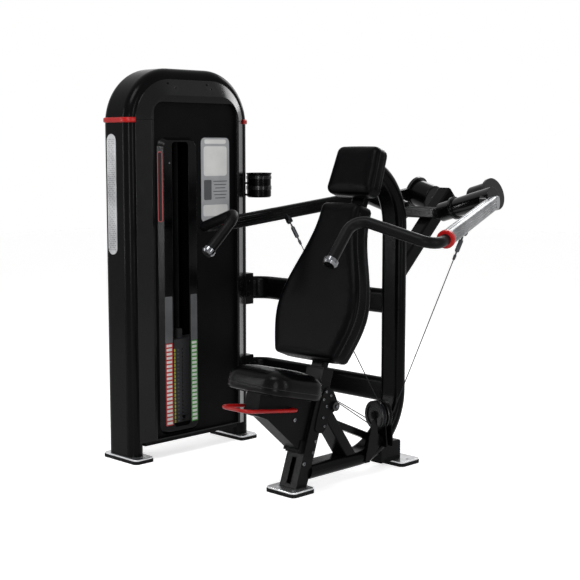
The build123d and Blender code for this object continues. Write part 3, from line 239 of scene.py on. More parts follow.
label_white = label("label_white", (176, 176, 175), (194, 194, 193), 0.3)
label_grey = label("label_grey", (62, 63, 65), (78, 79, 81), 0.2)
label_pale = label("label_pale", (128, 130, 132), (146, 147, 149))
label_red = label("label_red", (138, 34, 34), (156, 42, 40))
label_green = label("label_green", (52, 112, 46), (64, 128, 56))
label_lime = label("label_lime", (170, 170, 40), (190, 188, 52))
ink = label("ink", (7, 7, 8), (13, 13, 14), 0.1)

dress = {
    frame_black: "tower_frame lower_beam upper_beam cup_holder seat_frame seat_post back_spine brace pivot_boom "
                 "sheave_bracket pulley_hanger",
    carriage_black: "seat_carriage",
    cover_black: "tower_cap tower_shroud",
    panel_grey: "tower_panel tower_back_panel",
    moulding: "slot_housing",
    hub_black: "left_hub right_hub pivot_crossbar",
    pale_insert: "leg_insert",
    red_trim: "red_bands left_ring right_ring",
    loop_red: "release_lever",
    bright_plate: "tower_foot_plates seat_foot_plates",
    rubber: "tower_foot_pads seat_foot_pads stack_bumpers",
    chrome: "guide_rods left_end_cap right_end_cap",
    dark_steel: "left_turnbuckle right_turnbuckle left_cable_lug right_cable_lug",
    iron: "lifted_plates resting_plates top_plate",
    weight_black: "left_counterweight right_counterweight selector_pin",
    webbing: "lift_belt drive_belt",
    wheel: "front_pulley rear_pulley turn_pulley base_sheaves",
    cable_steel: "left_cable_run right_cable_run lower_cables",
    vinyl: "back_pad head_pad",
    seat_vinyl: "seat_pad",
    alloy: "left_lever",
    arm_black: "right_lever",
    grip: "left_handle right_handle",
}


def paint(piece, finish):
    piece.data.materials.clear()
    piece.data.materials.append(finish.mat)


for finish, names in dress.items():
    for name in names.split():
        paint(nodes[name], finish)


# ------------------------------------------------------------------ building tools
def new_piece(name, bm, finish, body, smooth=math.radians(35)):
    mesh = bpy.data.meshes.new(name)
    bmesh.ops.recalc_face_normals(bm, faces=bm.faces)
    bm.to_mesh(mesh)
    bm.free()
    piece = bpy.data.objects.new(name, mesh)
    scene.collection.objects.link(piece)
    paint(piece, finish)
    if smooth:
        mesh.shade_smooth()
        mesh.set_sharp_from_angle(angle=smooth)
    if body:
        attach(piece, body)
    return piece


def frame_at(normal, hint=Vector((0, 0, 1))):
    """Two directions across a normal, the second as near hint as can be."""
    normal = Vector(normal).normalized()
    side = Vector(hint).cross(normal)
    if side.length < 1e-4:
        side = Vector((1, 0, 0)).cross(normal)
    side.normalize()
    return side, normal.cross(side)


def add_ring(bm, centre, a, b, radius, count, hexed=False):
    ring = []
    for k in range(count):
        t = 2 * math.pi * k / count
        r = radius
        if hexed:
            r *= math.cos(math.pi / 6) / math.cos(t % (math.pi / 3) - math.pi / 6)
        ring.append(bm.verts.new(centre + a * (r * math.cos(t)) + b * (r * math.sin(t))))
    return ring


def join_rings(bm, one, two):
    n = len(one)
    for k in range(n):
        bm.faces.new((one[k], one[(k + 1) % n], two[(k + 1) % n], two[k]))


def lathe(bm, at, normal, profile, count=24):
    """Closed turned solid: profile is (radius, height along the normal, six-sided or not)."""
    a, b = frame_at(normal)
    normal = Vector(normal).normalized()
    rings = [add_ring(bm, Vector(at) + normal * h, a, b, r, count, hexed) for r, h, hexed in profile]
    for one, two in zip(rings, rings[1:]):
        join_rings(bm, one, two)
    bm.faces.new(rings[0])
    bm.faces.new(rings[-1])


def socket_screw(bm, at, normal, r, h, washer=0.0):
    """Button-head screw with a hexagon socket, on a washer if there is one."""
    low = 0.0
    if washer:
        lathe(bm, at, normal, [(washer, -0.001, False), (washer, 0.0012, False), (washer * 0.96, 0.0018, False)], 32)
        low = 0.0018
    lathe(bm, Vector(at), normal, [
        (r, low - 0.001, False), (r, low + h * 0.35, False), (r * 0.9, low + h * 0.78, False),
        (r * 0.62, low + h, False), (r * 0.46, low + h, True), (r * 0.44, low + h * 0.45, True)], 24)


def hex_bolt(bm, at, normal, r, h, washer=0.0):
    low = 0.0
    if washer:
        lathe(bm, at, normal, [(washer, -0.001, False), (washer, 0.0014, False), (washer * 0.95, 0.002, False)], 32)
        low = 0.002
    lathe(bm, Vector(at), normal, [
        (r, low - 0.001, True), (r, low + h * 0.8, True), (r * 0.84, low + h, False), (r * 0.5, low + h, False),
        (r * 0.46, low + h * 0.9, False)], 24)


def tablet(bm, centre, across, up, width, height, radius, thick, back=0.0006):
    """Rounded rectangle of that thickness, its back sunk a little into what carries it."""
    across, up = Vector(across).normalized(), Vector(up).normalized()
    out = across.cross(up)
    radius = min(radius, width / 2 - 1e-5, height / 2 - 1e-5)
    outline = []
    for cx, cy, start in ((1, 1, 0), (-1, 1, 90), (-1, -1, 180), (1, -1, 270)):
        for k in range(6):
            t = math.radians(start + 18 * k)
            outline.append(across * (cx * (width / 2 - radius) + radius * math.cos(t))
                           + up * (cy * (height / 2 - radius) + radius * math.sin(t)))
    centre = Vector(centre)
    low = [bm.verts.new(centre + p - out * back) for p in outline]
    high = [bm.verts.new(centre + p + out * thick) for p in outline]
    join_rings(bm, low, high)
    bm.faces.new(low)
    bm.faces.new(high)


def surface_of(*names):
    """Ray-casting tree of CAD nodes at rest."""
    verts, faces = [], []
    for name in names:
        mesh = nodes[name].data
        base = len(verts)
        verts += [v.co.copy() for v in mesh.vertices]
        faces += [[base + i for i in p.vertices] for p in mesh.polygons]
    return BVHTree.FromPolygons(verts, faces)


def touch(tree, start, direction):
    """Where a ray meets a surface, and the normal there turned to face the ray's start."""
    at, normal, _, _ = tree.ray_cast(Vector(start), Vector(direction).normalized())
    if at is None:
        return None, None
    if normal.dot(Vector(direction)) > 0:
        normal = -normal
    return at, normal


def tube_along(bm, points, radius, count=10, closed=True):
    """Round tube through points; a closed one meets itself."""
    n = len(points)
    rings = []
    for i, p in enumerate(points):
        after = points[(i + 1) % n] if closed or i < n - 1 else p
        before = points[i - 1] if closed or i else p
        a, b = frame_at(after - before, TUBE_HINT[0])
        rings.append(add_ring(bm, p, a, b, radius, count))
    for one, two in zip(rings, rings[1:]):
        join_rings(bm, one, two)
    if closed:
        join_rings(bm, rings[-1], rings[0])
    else:
        bm.faces.new(rings[0])
        bm.faces.new(rings[-1])


TUBE_HINT = [Vector((0, 0, 1))]


# ------------------------------------------------------------------ upholstery
def upholster(name, node, out, shrink, cap, keep_back, rounded=0.0, voxel=0.0055):
    """A padded copy of a CAD pad: blown up as cloth with its back held flat, then smoothed.

    rounded draws the upper edge in by that much, in a quarter ellipse from the middle of the side.
    """
    out = Vector(out).normalized()
    mesh = nodes[node].data.copy()
    pad = bpy.data.objects.new(name, mesh)
    scene.collection.objects.link(pad)
    bm = bmesh.new()
    bm.from_mesh(mesh)
    bmesh.ops.remove_doubles(bm, verts=bm.verts, dist=1e-5)
    bm.normal_update()
    lowest = min(v.co.dot(out) for v in bm.verts)
    push = [(v, v.normal - out * v.normal.dot(out) if v.co.dot(out) < lowest + keep_back else v.normal.copy())
            for v in bm.verts]
    for v, way in push:
        v.co -= way * shrink
    bm.to_mesh(mesh)
    bm.free()
    remesh = pad.modifiers.new("voxels", "REMESH")
    remesh.mode, remesh.voxel_size = "VOXEL", voxel
    bake(pad)
    even = pad.modifiers.new("even", "SMOOTH")
    even.factor, even.iterations = 0.5, 3
    bake(pad)
    if rounded:
        pillow(pad, out, rounded)
    start = [(v.co.copy(), v.normal.copy()) for v in pad.data.vertices]
    held = pad.vertex_groups.new(name="held")
    held.add([v.index for v in pad.data.vertices if v.co.dot(out) < lowest + keep_back], 1.0, "REPLACE")
    cloth = pad.modifiers.new("stuffing", "CLOTH")
    cloth.settings.vertex_group_mass = "held"
    cloth.settings.use_pressure = True
    cloth.settings.uniform_pressure_force = 4.0
    cloth.settings.tension_stiffness = cloth.settings.compression_stiffness = 25
    cloth.settings.bending_stiffness = 8
    cloth.settings.effector_weights.gravity = 0.0
    cloth.settings.quality = 4
    cloth.collision_settings.use_collision = False
    cloth.point_cache.frame_start, cloth.point_cache.frame_end = 1, 20
    for step in range(1, 21):
        scene.frame_set(step)
    bake(pad)
    scene.frame_set(1)
    swell = [max(-0.001, min(cap, (v.co - rest).dot(way))) for v, (rest, way) in zip(pad.data.vertices, start)]
    links = [[] for _ in swell]
    for edge in pad.data.edges:
        links[edge.vertices[0]].append(edge.vertices[1])
        links[edge.vertices[1]].append(edge.vertices[0])
    for _ in range(12):
        swell = [0.5 * s + 0.5 * sum(swell[k] for k in near) / max(1, len(near)) for s, near in zip(swell, links)]
    for v, (rest, way), rise in zip(pad.data.vertices, start, swell):
        v.co = rest + way * rise
    pad.data.materials.clear()
    pad.data.materials.append(nodes[node].data.materials[0])
    pad.data.shade_smooth()
    return pad


def pillow(pad, out, reach, side=0.34, crown=0.010):
    """Rounds a pad's upper edge, and raises the middle of its top by crown."""
    verts = pad.data.vertices
    across = Vector((1, 0, 0))
    along = out.cross(across)
    level = [v.co.dot(out) for v in verts]
    low, thick = min(level), max(level) - min(level)
    mid_a = sum(v.co.dot(across) for v in verts) / len(verts)
    mid_b = (max(v.co.dot(along) for v in verts) + min(v.co.dot(along) for v in verts)) / 2
    half_a = max(abs(v.co.dot(across) - mid_a) for v in verts)
    half_b = max(abs(v.co.dot(along) - mid_b) for v in verts)
    for v, h in zip(verts, level):
        share = ((h - low) / thick - side) / (1 - side)
        if share <= 0:
            continue
        inset = reach * (1 - math.sqrt(max(0.0, 1 - min(1.0, share) ** 2)))
        a, b = v.co.dot(across) - mid_a, v.co.dot(along) - mid_b
        middle_share = max(0.0, 1 - abs(a / half_a) ** 5) * max(0.0, 1 - abs(b / half_b) ** 5)
        v.co += out * (crown * middle_share * share) - across * (a * inset / half_a) - along * (b * inset / half_b)


def bake(piece):
    """Puts a piece's modifiers into its mesh."""
    graph = bpy.context.evaluated_depsgraph_get()
    mesh = bpy.data.meshes.new_from_object(piece.evaluated_get(graph))
    old = piece.data
    piece.modifiers.clear()
    piece.data = mesh
    bpy.data.meshes.remove(old)


def tree_of(piece):
    mesh = piece.data
    return BVHTree.FromPolygons([v.co.copy() for v in mesh.vertices], [list(p.vertices) for p in mesh.polygons])


def seam(name, pad, body, centre, across, up, radius, count=180, stitched=0.0):
    """Piping that lies on the pad where a plane through centre cuts it, and stitches beside it."""
    across, up = Vector(across).normalized(), Vector(up).normalized()
    out = across.cross(up)
    tree = tree_of(pad)
    points, rows = [], []
    for k in range(count):
        t = 2 * math.pi * k / count
        ray = across * math.cos(t) + up * math.sin(t)
        at, _ = touch(tree, Vector(centre) + ray * 0.8, -ray)
        if at is not None:
            points.append(at - ray * radius * 0.35)
    for _ in range(3):
        points = [(points[i - 1] + points[i] * 2 + points[(i + 1) % len(points)]) / 4 for i in range(len(points))]
    bm = bmesh.new()
    TUBE_HINT[0] = out
    tube_along(bm, points, radius)
    line = new_piece(name, bm, piping, body)
    if stitched:
        bm = bmesh.new()
        total = len(points)
        for i in range(0, total, 2):
            a, b = points[i], points[(i + 1) % total]
            a, b = a.lerp(b, 0.1), a.lerp(b, 0.9)
            shift = out * stitched
            sides = []
            for p in (a + shift, b + shift):
                hit, normal = touch(tree, p + (p - Vector(centre)).normalized() * 0.03, Vector(centre) - p)
                if hit is not None and (hit - p).length < 0.03:
                    sides.append(hit + normal * 0.0003)
            if len(sides) == 2:
                tube_along(bm, [sides[0], sides[0].lerp(sides[1], 0.5) + (sides[0] - Vector(centre)).normalized()
                                * 0.0004, sides[1]], 0.0006, 6, closed=False)
        new_piece(name + "_stitches", bm, thread, body)
    return line


X, Y, Z = Vector((1, 0, 0)), Vector((0, 1, 0)), Vector((0, 0, 1))
lean = math.radians(20)
back_out = Vector((0, -math.cos(lean), math.sin(lean)))
back_up = Vector((0, math.sin(lean), math.cos(lean)))
tip = math.radians(13.5)
seat_up = Vector((0, math.sin(tip), math.cos(tip)))
seat_ahead = Vector((0, -math.cos(tip), math.sin(tip)))


def middle(node):
    low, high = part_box(node)
    return (Vector(low) + Vector(high)) / 2


back = upholster("back_cushion", "back_pad", back_out, 0.0015, 0.005, 0.022)
head = upholster("head_cushion", "head_pad", back_out, 0.0015, 0.004, 0.018)
seat = upholster("seat_cushion", "seat_pad", seat_up, 0.0015, 0.005, 0.016, rounded=0.023)
for pad, node, body in ((back, "back_pad", "frame"), (head, "head_pad", "frame"), (seat, "seat_pad", "seat")):
    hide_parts(node)
    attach(pad, body)

back_deep = max(v.co.dot(back_out) for v in nodes["back_pad"].data.vertices)
head_deep = max(v.co.dot(back_out) for v in nodes["head_pad"].data.vertices)
seat_low = min(v.co.dot(seat_up) for v in nodes["seat_pad"].data.vertices)
for name, node, pad, face in (("back", "back_pad", back, back_deep), ("head", "head_pad", head, head_deep)):
    mid = middle(node)
    for tag, depth, r in (("front_welt", 0.024, 0.0016), ("rear_welt", 0.066 if name == "back" else 0.052, 0.0014)):
        centre = mid + back_out * (face - depth - mid.dot(back_out))
        seam(f"{name}_{tag}", pad, "frame", centre, X, back_up, r, 220 if name == "back" else 150, -0.005)
mid = middle("seat_pad")
seam("seat_welt", seat, "seat", mid + seat_up * (seat_low + 0.027 - mid.dot(seat_up)), X, -seat_ahead, 0.0024, 170, 0.006)


def twisted(name, start, end, radius, lay, body=None, strands=6):
    """Wire rope drawn as strands that wind round each other."""
    bm = bmesh.new()
    axis = (end - start).normalized()
    a, b = frame_at(axis)
    length = (end - start).length
    steps = max(8, int(length / (lay / 5)))
    rings = []
    for i in range(steps + 1):
        turn = 2 * math.pi * (length * i / steps) / lay
        ring = []
        for k in range(strands * 4):
            t = 2 * math.pi * k / (strands * 4)
            r = radius * (0.91 + 0.09 * math.cos(strands * t))
            ring.append(bm.verts.new(start + axis * (length * i / steps)
                                     + a * (r * math.cos(t + turn)) + b * (r * math.sin(t + turn))))
        rings.append(ring)
    for one, two in zip(rings, rings[1:]):
        join_rings(bm, one, two)
    bm.faces.new(rings[0])
    bm.faces.new(rings[-1])
    return new_piece(name, bm, cable_steel, body, smooth=math.radians(60))


def ends_of(node, axis):
    """The two ends of a straight round solid, on its centre line."""
    points = [v.co for v in nodes[node].data.vertices]
    reach = [p.dot(axis) for p in points]
    low, high = min(reach), max(reach)
    ends = []
    for level in (low, high):
        near = [p for p, r in zip(points, reach) if abs(r - level) < 0.004]
        ends.append(sum(near, Vector()) / len(near))
    return ends


for side in ("left", "right"):
    drop = middle(f"{side}_cable_run") - middle(f"{side}_turnbuckle")
    start, end = ends_of(f"{side}_cable_run", drop.normalized())
    rope = twisted(f"{side}_wire_rope", start, end, 0.0025, 0.03)
    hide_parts(f"{side}_cable_run")
    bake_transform(rope)

low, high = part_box("lift_belt")
bm = bmesh.new()
ribs = 120
rings = []
for i in range(ribs + 1):
    z = low[2] + (high[2] - low[2]) * i / ribs
    t = 0.0015 * (0.94 if i % 2 else 1.0)
    y = (low[1] + high[1]) / 2
    rings.append([bm.verts.new((x, y + dy, z)) for x, dy in
                  ((low[0], -t), (high[0], -t), (high[0], t), (low[0], t))])
for one, two in zip(rings, rings[1:]):
    join_rings(bm, one, two)
bm.faces.new(rings[0])
bm.faces.new(rings[-1])
belt = new_piece("lifting_belt", bm, webbing, "frame", smooth=None)
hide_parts("lift_belt")
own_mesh(belt)

# ------------------------------------------------------------------ stack labels
face_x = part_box("slot_housing")[1][0]
panel_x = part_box("tower_panel")[1][0]
plate_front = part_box("lifted_plates")[1][0]
plate_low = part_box("resting_plates")[0][2]
plate_pitch, plate_count, pin_index = 0.0174, 20, 1
for body, first, last in (("frame", 0, pin_index), ("stack", pin_index, plate_count)):
    tags, numbers = bmesh.new(), []
    for i in range(first, last):
        z = plate_low + plate_pitch * (i + 0.49)
        tablet(tags, (plate_front, 0.0545, z), Y, Z, 0.023, 0.0125, 0.002, 0.0004)
        words = bpy.data.curves.new(f"number_{i}", "FONT")
        words.body = str(5 * (plate_count - i))
        words.size, words.extrude, words.align_x, words.align_y = 0.0115, 0.00025, "CENTER", "CENTER"
        holder = bpy.data.objects.new(f"number_{i}", words)
        scene.collection.objects.link(holder)
        holder.matrix_world = Matrix(((0, 0, 1, plate_front + 0.0006), (1, 0, 0, 0.0545), (0, 1, 0, z), (0, 0, 0, 1)))
        numbers.append(holder)
    new_piece(f"{body}_weight_tags", tags, label_lime, body, smooth=None)
    bpy.context.view_layer.update()
    graph = bpy.context.evaluated_depsgraph_get()
    bm = bmesh.new()
    for holder in numbers:
        mesh = bpy.data.meshes.new_from_object(holder.evaluated_get(graph))
        mesh.transform(holder.matrix_world)
        bm.from_mesh(mesh)
        words = holder.data
        bpy.data.objects.remove(holder)
        bpy.data.curves.remove(words)
        bpy.data.meshes.remove(mesh)
    new_piece(f"{body}_weight_numbers", bm, ink, body, smooth=None)
    marks = bmesh.new()
    for i in range(first, last):
        z = plate_low + plate_pitch * (i + 0.49)
        tablet(marks, (plate_front, 0.083, z), Y, Z, 0.010, 0.006, 0.003, 0.0003)
    new_piece(f"{body}_plate_marks", marks, label_grey, body, smooth=None)

for name, y0, y1, colour in (("left", -0.017, 0.026, label_red), ("right", 0.134, 0.172, label_green)):
    mid_y, wide = (y0 + y1) / 2, y1 - y0
    bm = bmesh.new()
    tablet(bm, (face_x, mid_y, 0.635), Y, Z, wide, 0.212, 0.004, 0.0004)
    new_piece(f"{name}_strip_head", bm, label_grey, "frame", smooth=None)
    bm = bmesh.new()
    tablet(bm, (face_x, mid_y, 0.339), Y, Z, wide, 0.378, 0.004, 0.0004)
    new_piece(f"{name}_strip", bm, colour, "frame", smooth=None)
    bm = bmesh.new()
    for i in range(20):
        tablet(bm, (face_x + 0.0004, mid_y, 0.161 + 0.01875 * i), Y, Z, wide * 0.72, 0.0115, 0.002, 0.0004)
    new_piece(f"{name}_strip_marks", bm, label_white, "frame", smooth=None)

# ------------------------------------------------------------------ placard
placard_y, placard_z = 0.3085, 1.2585
bm = bmesh.new()
tablet(bm, (panel_x, placard_y, placard_z), Y, Z, 0.173, 0.387, 0.022, 0.0012)
new_piece("placard", bm, label_pale, "frame", smooth=None)
bm = bmesh.new()
tablet(bm, (panel_x + 0.0012, placard_y, 1.345), Y, Z, 0.142, 0.136, 0.014, 0.0004)
tablet(bm, (panel_x + 0.0012, placard_y, 1.4345), Y, Z, 0.132, 0.020, 0.009, 0.0004)
tablet(bm, (panel_x + 0.0012, placard_y, 1.118), Y, Z, 0.150, 0.052, 0.010, 0.0004)
new_piece("placard_fields", bm, label_white, "frame", smooth=None)
bm = bmesh.new()
for k in range(6):
    tablet(bm, (panel_x + 0.0012, placard_y + 0.030, 1.252 - 0.0155 * k), Y, Z, 0.086 - 0.011 * (k % 3), 0.004, 0.002, 0.0004)
tablet(bm, (panel_x + 0.0012, placard_y - 0.047, 1.213), Y, Z, 0.046, 0.092, 0.006, 0.0004)
new_piece("placard_lines", bm, label_grey, "frame", smooth=None)

# ------------------------------------------------------------------ badge on the housing's flank
housing = surface_of("slot_housing")
pill_low, pill_high = 1.078, 1.390
hit_low, flank = touch(housing, (face_x + 0.05, -0.027, 1.12), (-1, 0, 0))
hit_high, _ = touch(housing, (face_x + 0.05, -0.027, 1.36), (-1, 0, 0))
if hit_low is not None and hit_high is not None:
    pill = (hit_low + hit_high) / 2
    pill.z = (pill_low + pill_high) / 2
    up = (hit_high - hit_low).normalized()
    across = up.cross(flank).normalized()
    for name, grow, rise, colour in (("badge_edge", 0.0, 0.0006, label_red), ("badge_field", -0.005, 0.0010, ink)):
        bm = bmesh.new()
        tablet(bm, pill, across, up, 0.021 + grow, pill_high - pill_low + grow, 0.010, rise, back=0.001)
        new_piece(name, bm, colour, "frame", smooth=None)

# ------------------------------------------------------------------ pattern on the leg insert
front_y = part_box("leg_insert")[0][1]
ilow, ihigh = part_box("leg_insert")
mid_x, half = (ilow[0] + ihigh[0]) / 2, (ihigh[0] - ilow[0]) / 2
bm = bmesh.new()
rows = int((ihigh[2] - ilow[2] - 2 * half * 0.6) / 0.009)
for i in range(rows):
    z = ilow[2] + half * 0.6 + 0.009 * (i + 0.5)
    for k in range(-2, 3):
        x = mid_x + k * 0.0105 + (0.005 if i % 2 else -0.0002)
        end = min(z - ilow[2], ihigh[2] - z)
        room = half - 0.007 if end > half else math.sqrt(max(0.0, half ** 2 - (half - end) ** 2)) - 0.007
        if abs(x - mid_x) < room:
            long = 0.0062 if (i * 7 + k * 3) % 4 else 0.0036
            tablet(bm, (x, front_y, z), X, Z, 0.0036, long, 0.0016, 0.0003, back=0.0003)
new_piece("insert_pattern", bm, fleck, "frame", smooth=None)

# ------------------------------------------------------------------ screws and bolts
cap_tree = surface_of("tower_cap")
dark, bright = bmesh.new(), bmesh.new()
for y in (0.044, 0.274):
    at, normal = touch(cap_tree, (-0.60, y, 1.692), (-1, 0, 0))
    if at is not None:
        socket_screw(dark, at, normal, 0.0055, 0.0028)
at, normal = touch(housing, (face_x + 0.05, 0.018, 1.339), (-1, 0, 0))
if at is not None:
    socket_screw(bright, at, normal, 0.0045, 0.0022)
post = surface_of("seat_post", "seat_frame", "brace")
for y, z in ((0.098, 0.203), (0.082, 0.156), (0.050, 0.120)):
    at, normal = touch(post, (0.3, y - 0.02, z), (-1, 0, 0))
    if at is not None and at.x > 0.02:
        socket_screw(bright, at, normal, 0.0085, 0.0048, 0.0)
for name in ("upper_beam", "lower_beam"):
    low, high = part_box(name)
    tree = surface_of(name)
    for dz in (-0.028, 0.028):
        z = (low[2] + high[2]) / 2 + dz
        for y in (0.545, 0.585):
            at, normal = touch(tree, (0.2, y, z), (-1, 0, 0))
            if at is not None:
                hex_bolt(dark, at, normal, 0.010, 0.006, 0.013)
new_piece("frame_screws_dark", dark, arm_black, "frame")
new_piece("frame_screws_bright", bright, steel, "frame")

carriage = surface_of("seat_carriage")
bm = bmesh.new()
for start, way in ((0.3, -1), (-0.3, 1)):
    at, normal = touch(carriage, (start, -0.016, 0.310), (way, 0, 0))
    if at is not None and abs(normal.x) > 0.8:
        socket_screw(bm, at, normal, 0.0085, 0.0045)

# the height lever's side plate on the sleeve, in distances up the leaning post and back from its face
post_lean = math.radians(19)
post_up = Vector((0, math.sin(post_lean), math.cos(post_lean)))
post_back = Vector((0, math.cos(post_lean), -math.sin(post_lean)))
post_front = Vector((0, -0.023, 0))
sleeve_side, side_plate = 0.0544, 0.005


def on_post(back, rise, x):
    return post_front + post_back * back + post_up * rise + X * x


outline = [(0.016, 0.452), (0.060, 0.462), (0.092, 0.440), (0.122, 0.404), (0.118, 0.376), (0.086, 0.352),
           (0.082, 0.286), (0.066, 0.268), (0.030, 0.268), (0.016, 0.286)]
plate = bmesh.new()
smoothed = outline
for _ in range(2):
    smoothed = [(a * 0.75 + c * 0.25, b * 0.75 + d * 0.25) if first else (a * 0.25 + c * 0.75, b * 0.25 + d * 0.75)
                for (a, b), (c, d) in zip(smoothed, smoothed[1:] + smoothed[:1]) for first in (True, False)]
inner = [plate.verts.new(on_post(back, rise, sleeve_side)) for back, rise in smoothed]
outer = [plate.verts.new(on_post(back, rise, sleeve_side + side_plate)) for back, rise in smoothed]
join_rings(plate, inner, outer)
plate.faces.new(inner)
plate.faces.new(outer)
new_piece("height_plate", plate, carriage_black, "seat")
for back, rise in ((0.028, 0.406), (0.055, 0.382), (0.049, 0.333), (0.068, 0.300), (0.034, 0.440), (0.066, 0.430)):
    socket_screw(bm, on_post(back, rise, sleeve_side + side_plate), X, 0.0062, 0.0042)
hex_bolt(bm, on_post(0.102, 0.392, sleeve_side + side_plate + 0.013), X, 0.0085, 0.006)
for back, rise in ((0.043, 0.231), (0.043, 0.184)):
    socket_screw(bm, on_post(back, rise, sleeve_side), X, 0.0075, 0.0045)
new_piece("carriage_bolts", bm, steel, "seat")
bm = bmesh.new()
lathe(bm, on_post(0.102, 0.392, sleeve_side + side_plate), X,
      [(0.010, -0.001, False), (0.010, 0.002, False), (0.019, 0.002, False), (0.020, 0.003, False),
       (0.020, 0.012, False), (0.019, 0.013, False), (0.012, 0.0135, False)], 36)
new_piece("height_roller", bm, wheel, "seat")

# the sheave pin's heads and the cup's two bands
sheaves = surface_of("base_sheaves", "sheave_bracket")
bm = bmesh.new()
for side in (1, -1):
    spots = [v.co for v in nodes["base_sheaves"].data.vertices if v.co.x * side > 0]
    mid = Vector([(min(p[i] for p in spots) + max(p[i] for p in spots)) / 2 for i in range(3)])
    for way in (X, -X):
        at, normal = touch(sheaves, mid + way * 0.06, -way)
        if at is not None and abs(normal.x) > 0.7:
            hex_bolt(bm, at, normal, 0.0105, 0.007, 0.018)
new_piece("sheave_pin_heads", bm, steel, "frame")

low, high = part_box("cup_holder")
cup_reach = 0.062
cup_at = Vector((high[0] - cup_reach, high[1] - cup_reach, high[2]))
handle_gap, gap_at = math.radians(15), math.radians(45)
bm = bmesh.new()
for top, bottom in ((0.014, 0.030), (0.062, 0.082)):
    arcs = []
    for r, drop in ((0.0585, bottom), (0.0625, bottom - 0.001), (0.0625, top + 0.001), (0.0585, top)):
        arcs.append([bm.verts.new(cup_at + Vector((r * math.cos(t), r * math.sin(t), -drop))) for t in
                     (gap_at + handle_gap + (2 * math.pi - 2 * handle_gap) * k / 60 for k in range(61))])
    for one, two in zip(arcs, arcs[1:] + arcs[:1]):
        for k in range(60):
            bm.faces.new((one[k], one[k + 1], two[k + 1], two[k]))
    for k in (0, 60):
        bm.faces.new([arc[k] for arc in arcs])
new_piece("cup_bands", bm, hub_black, "frame")

for side in ("left", "right"):
    cap = nodes[f"{side}_end_cap"].data
    heel = middle(f"{side}_handle")
    way = (middle(f"{side}_end_cap") - heel).normalized()
    for _ in range(2):
        face = max(cap.polygons, key=lambda p: p.normal.dot(way) * 10 + p.area * 1e4 if p.normal.dot(way) > 0.6 else -1)
        way = face.normal.copy()
    rim = [v.co for v in cap.vertices if v.co.dot(way) > face.center.dot(way) - 0.0002]
    centre = sum(rim, Vector()) / len(rim)
    radius = max((p - centre).length for p in rim)
    bm = bmesh.new()
    lathe(bm, centre, way, [(radius * 0.98, -0.001, False), (radius * 0.98, 0.0008, False), (radius * 0.90, 0.0014, False),
                            (radius * 0.86, 0.0008, False), (radius * 0.42, 0.0008, False), (radius * 0.36, 0.0022, False),
                            (radius * 0.28, 0.0022, True), (radius * 0.26, 0.0002, True)], 36)
    new_piece(f"{side}_cap_centre", bm, ink, f"{side}_arm")

pivot_tilt = math.radians(16)
for side, sign in (("left", 1), ("right", -1)):
    tree = surface_of(f"{side}_counterweight")
    bm = bmesh.new()
    axis = Vector((sign * math.cos(pivot_tilt), 0, math.sin(pivot_tilt)))
    mid = middle(f"{side}_counterweight")
    for way in (axis, -axis):
        at, normal = touch(tree, mid + way * 0.5, -way)
        if at is not None:
            hex_bolt(bm, at, normal, 0.0095, 0.006, 0.017)
    new_piece(f"{side}_weight_bolts", bm, steel, f"{side}_arm")

# ------------------------------------------------------------------ floor, light and background
def light(name, at, target, size, power, colour=(1, 1, 1), tall=None):
    data = bpy.data.lights.new(name, "AREA")
    data.energy, data.size, data.color = power, size, colour
    if tall:
        data.shape, data.size_y = "RECTANGLE", tall
    lamp = bpy.data.objects.new(name, data)
    scene.collection.objects.link(lamp)
    lamp.location = at
    lamp.rotation_euler = (Vector(target) - Vector(at)).to_track_quat("-Z", "Y").to_euler()


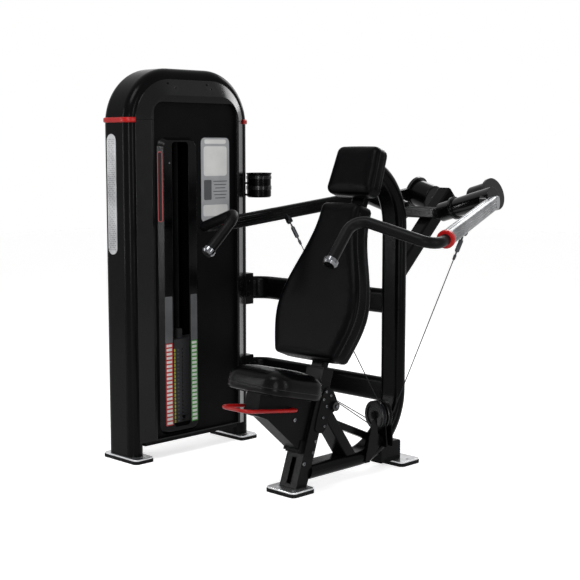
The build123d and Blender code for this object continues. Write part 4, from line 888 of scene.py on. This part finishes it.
light("front_strip", (3.1, -3.9, 1.6), (-0.6, 0.1, 0.95), 0.24, 90, tall=2.6)
light("left_strip", (-2.9, -3.2, 1.7), (-0.7, 0.1, 0.9), 0.22, 45, tall=2.6)
light("right_strip", (3.7, 0.2, 1.7), (0.0, 0.3, 0.8), 0.25, 45, tall=2.4)
light("top", (0.4, -1.6, 3.8), (-0.2, 0.3, 0.8), 1.3, 70)
light("rear", (-1.0, 3.6, 2.8), (-0.2, 0.3, 0.9), 1.6, 45)

bm = bmesh.new()
bmesh.ops.create_grid(bm, x_segments=2, y_segments=2, size=14.0)
floor_mesh = bpy.data.meshes.new("floor")
bm.to_mesh(floor_mesh)
bm.free()
floor = bpy.data.objects.new("floor", floor_mesh)
scene.collection.objects.link(floor)
floor_mat = bpy.data.materials.new("floor")
floor_mat.use_nodes = True
tree = floor_mat.node_tree
shader = tree.nodes["Principled BSDF"]
shader.inputs["Base Color"].default_value = (0.86, 0.86, 0.86, 1)
shader.inputs["Roughness"].default_value = 0.6
shader.inputs["Specular IOR Level"].default_value = 0.2


def seen_directly(tree):
    """1 for camera, glossy and transmission rays, else 0."""
    path = tree.nodes.new("ShaderNodeLightPath")
    one = tree.nodes.new("ShaderNodeMath")
    two = tree.nodes.new("ShaderNodeMath")
    one.operation = two.operation = "MAXIMUM"
    tree.links.new(path.outputs["Is Camera Ray"], one.inputs[0])
    tree.links.new(path.outputs["Is Glossy Ray"], one.inputs[1])
    tree.links.new(one.outputs[0], two.inputs[0])
    tree.links.new(path.outputs["Is Transmission Ray"], two.inputs[1])
    return two


glow = tree.nodes.new("ShaderNodeMath")
glow.operation = "MULTIPLY"
glow.inputs[1].default_value = 0.62
tree.links.new(seen_directly(tree).outputs[0], glow.inputs[0])
tree.links.new(glow.outputs[0], shader.inputs["Emission Strength"])
shader.inputs["Emission Color"].default_value = (1, 1, 1, 1)
floor.data.materials.append(floor_mat)

world = bpy.data.worlds.new("studio")
scene.world = world
world.use_nodes = True
tree = world.node_tree
background = tree.nodes["Background"]
background.inputs["Color"].default_value = (1, 1, 1, 1)
level = tree.nodes.new("ShaderNodeMapRange")
level.inputs["To Min"].default_value = 0.32
level.inputs["To Max"].default_value = 1.0
tree.links.new(seen_directly(tree).outputs[0], level.inputs["Value"])
tree.links.new(level.outputs["Result"], background.inputs["Strength"])
scene.view_settings.view_transform = "Standard"
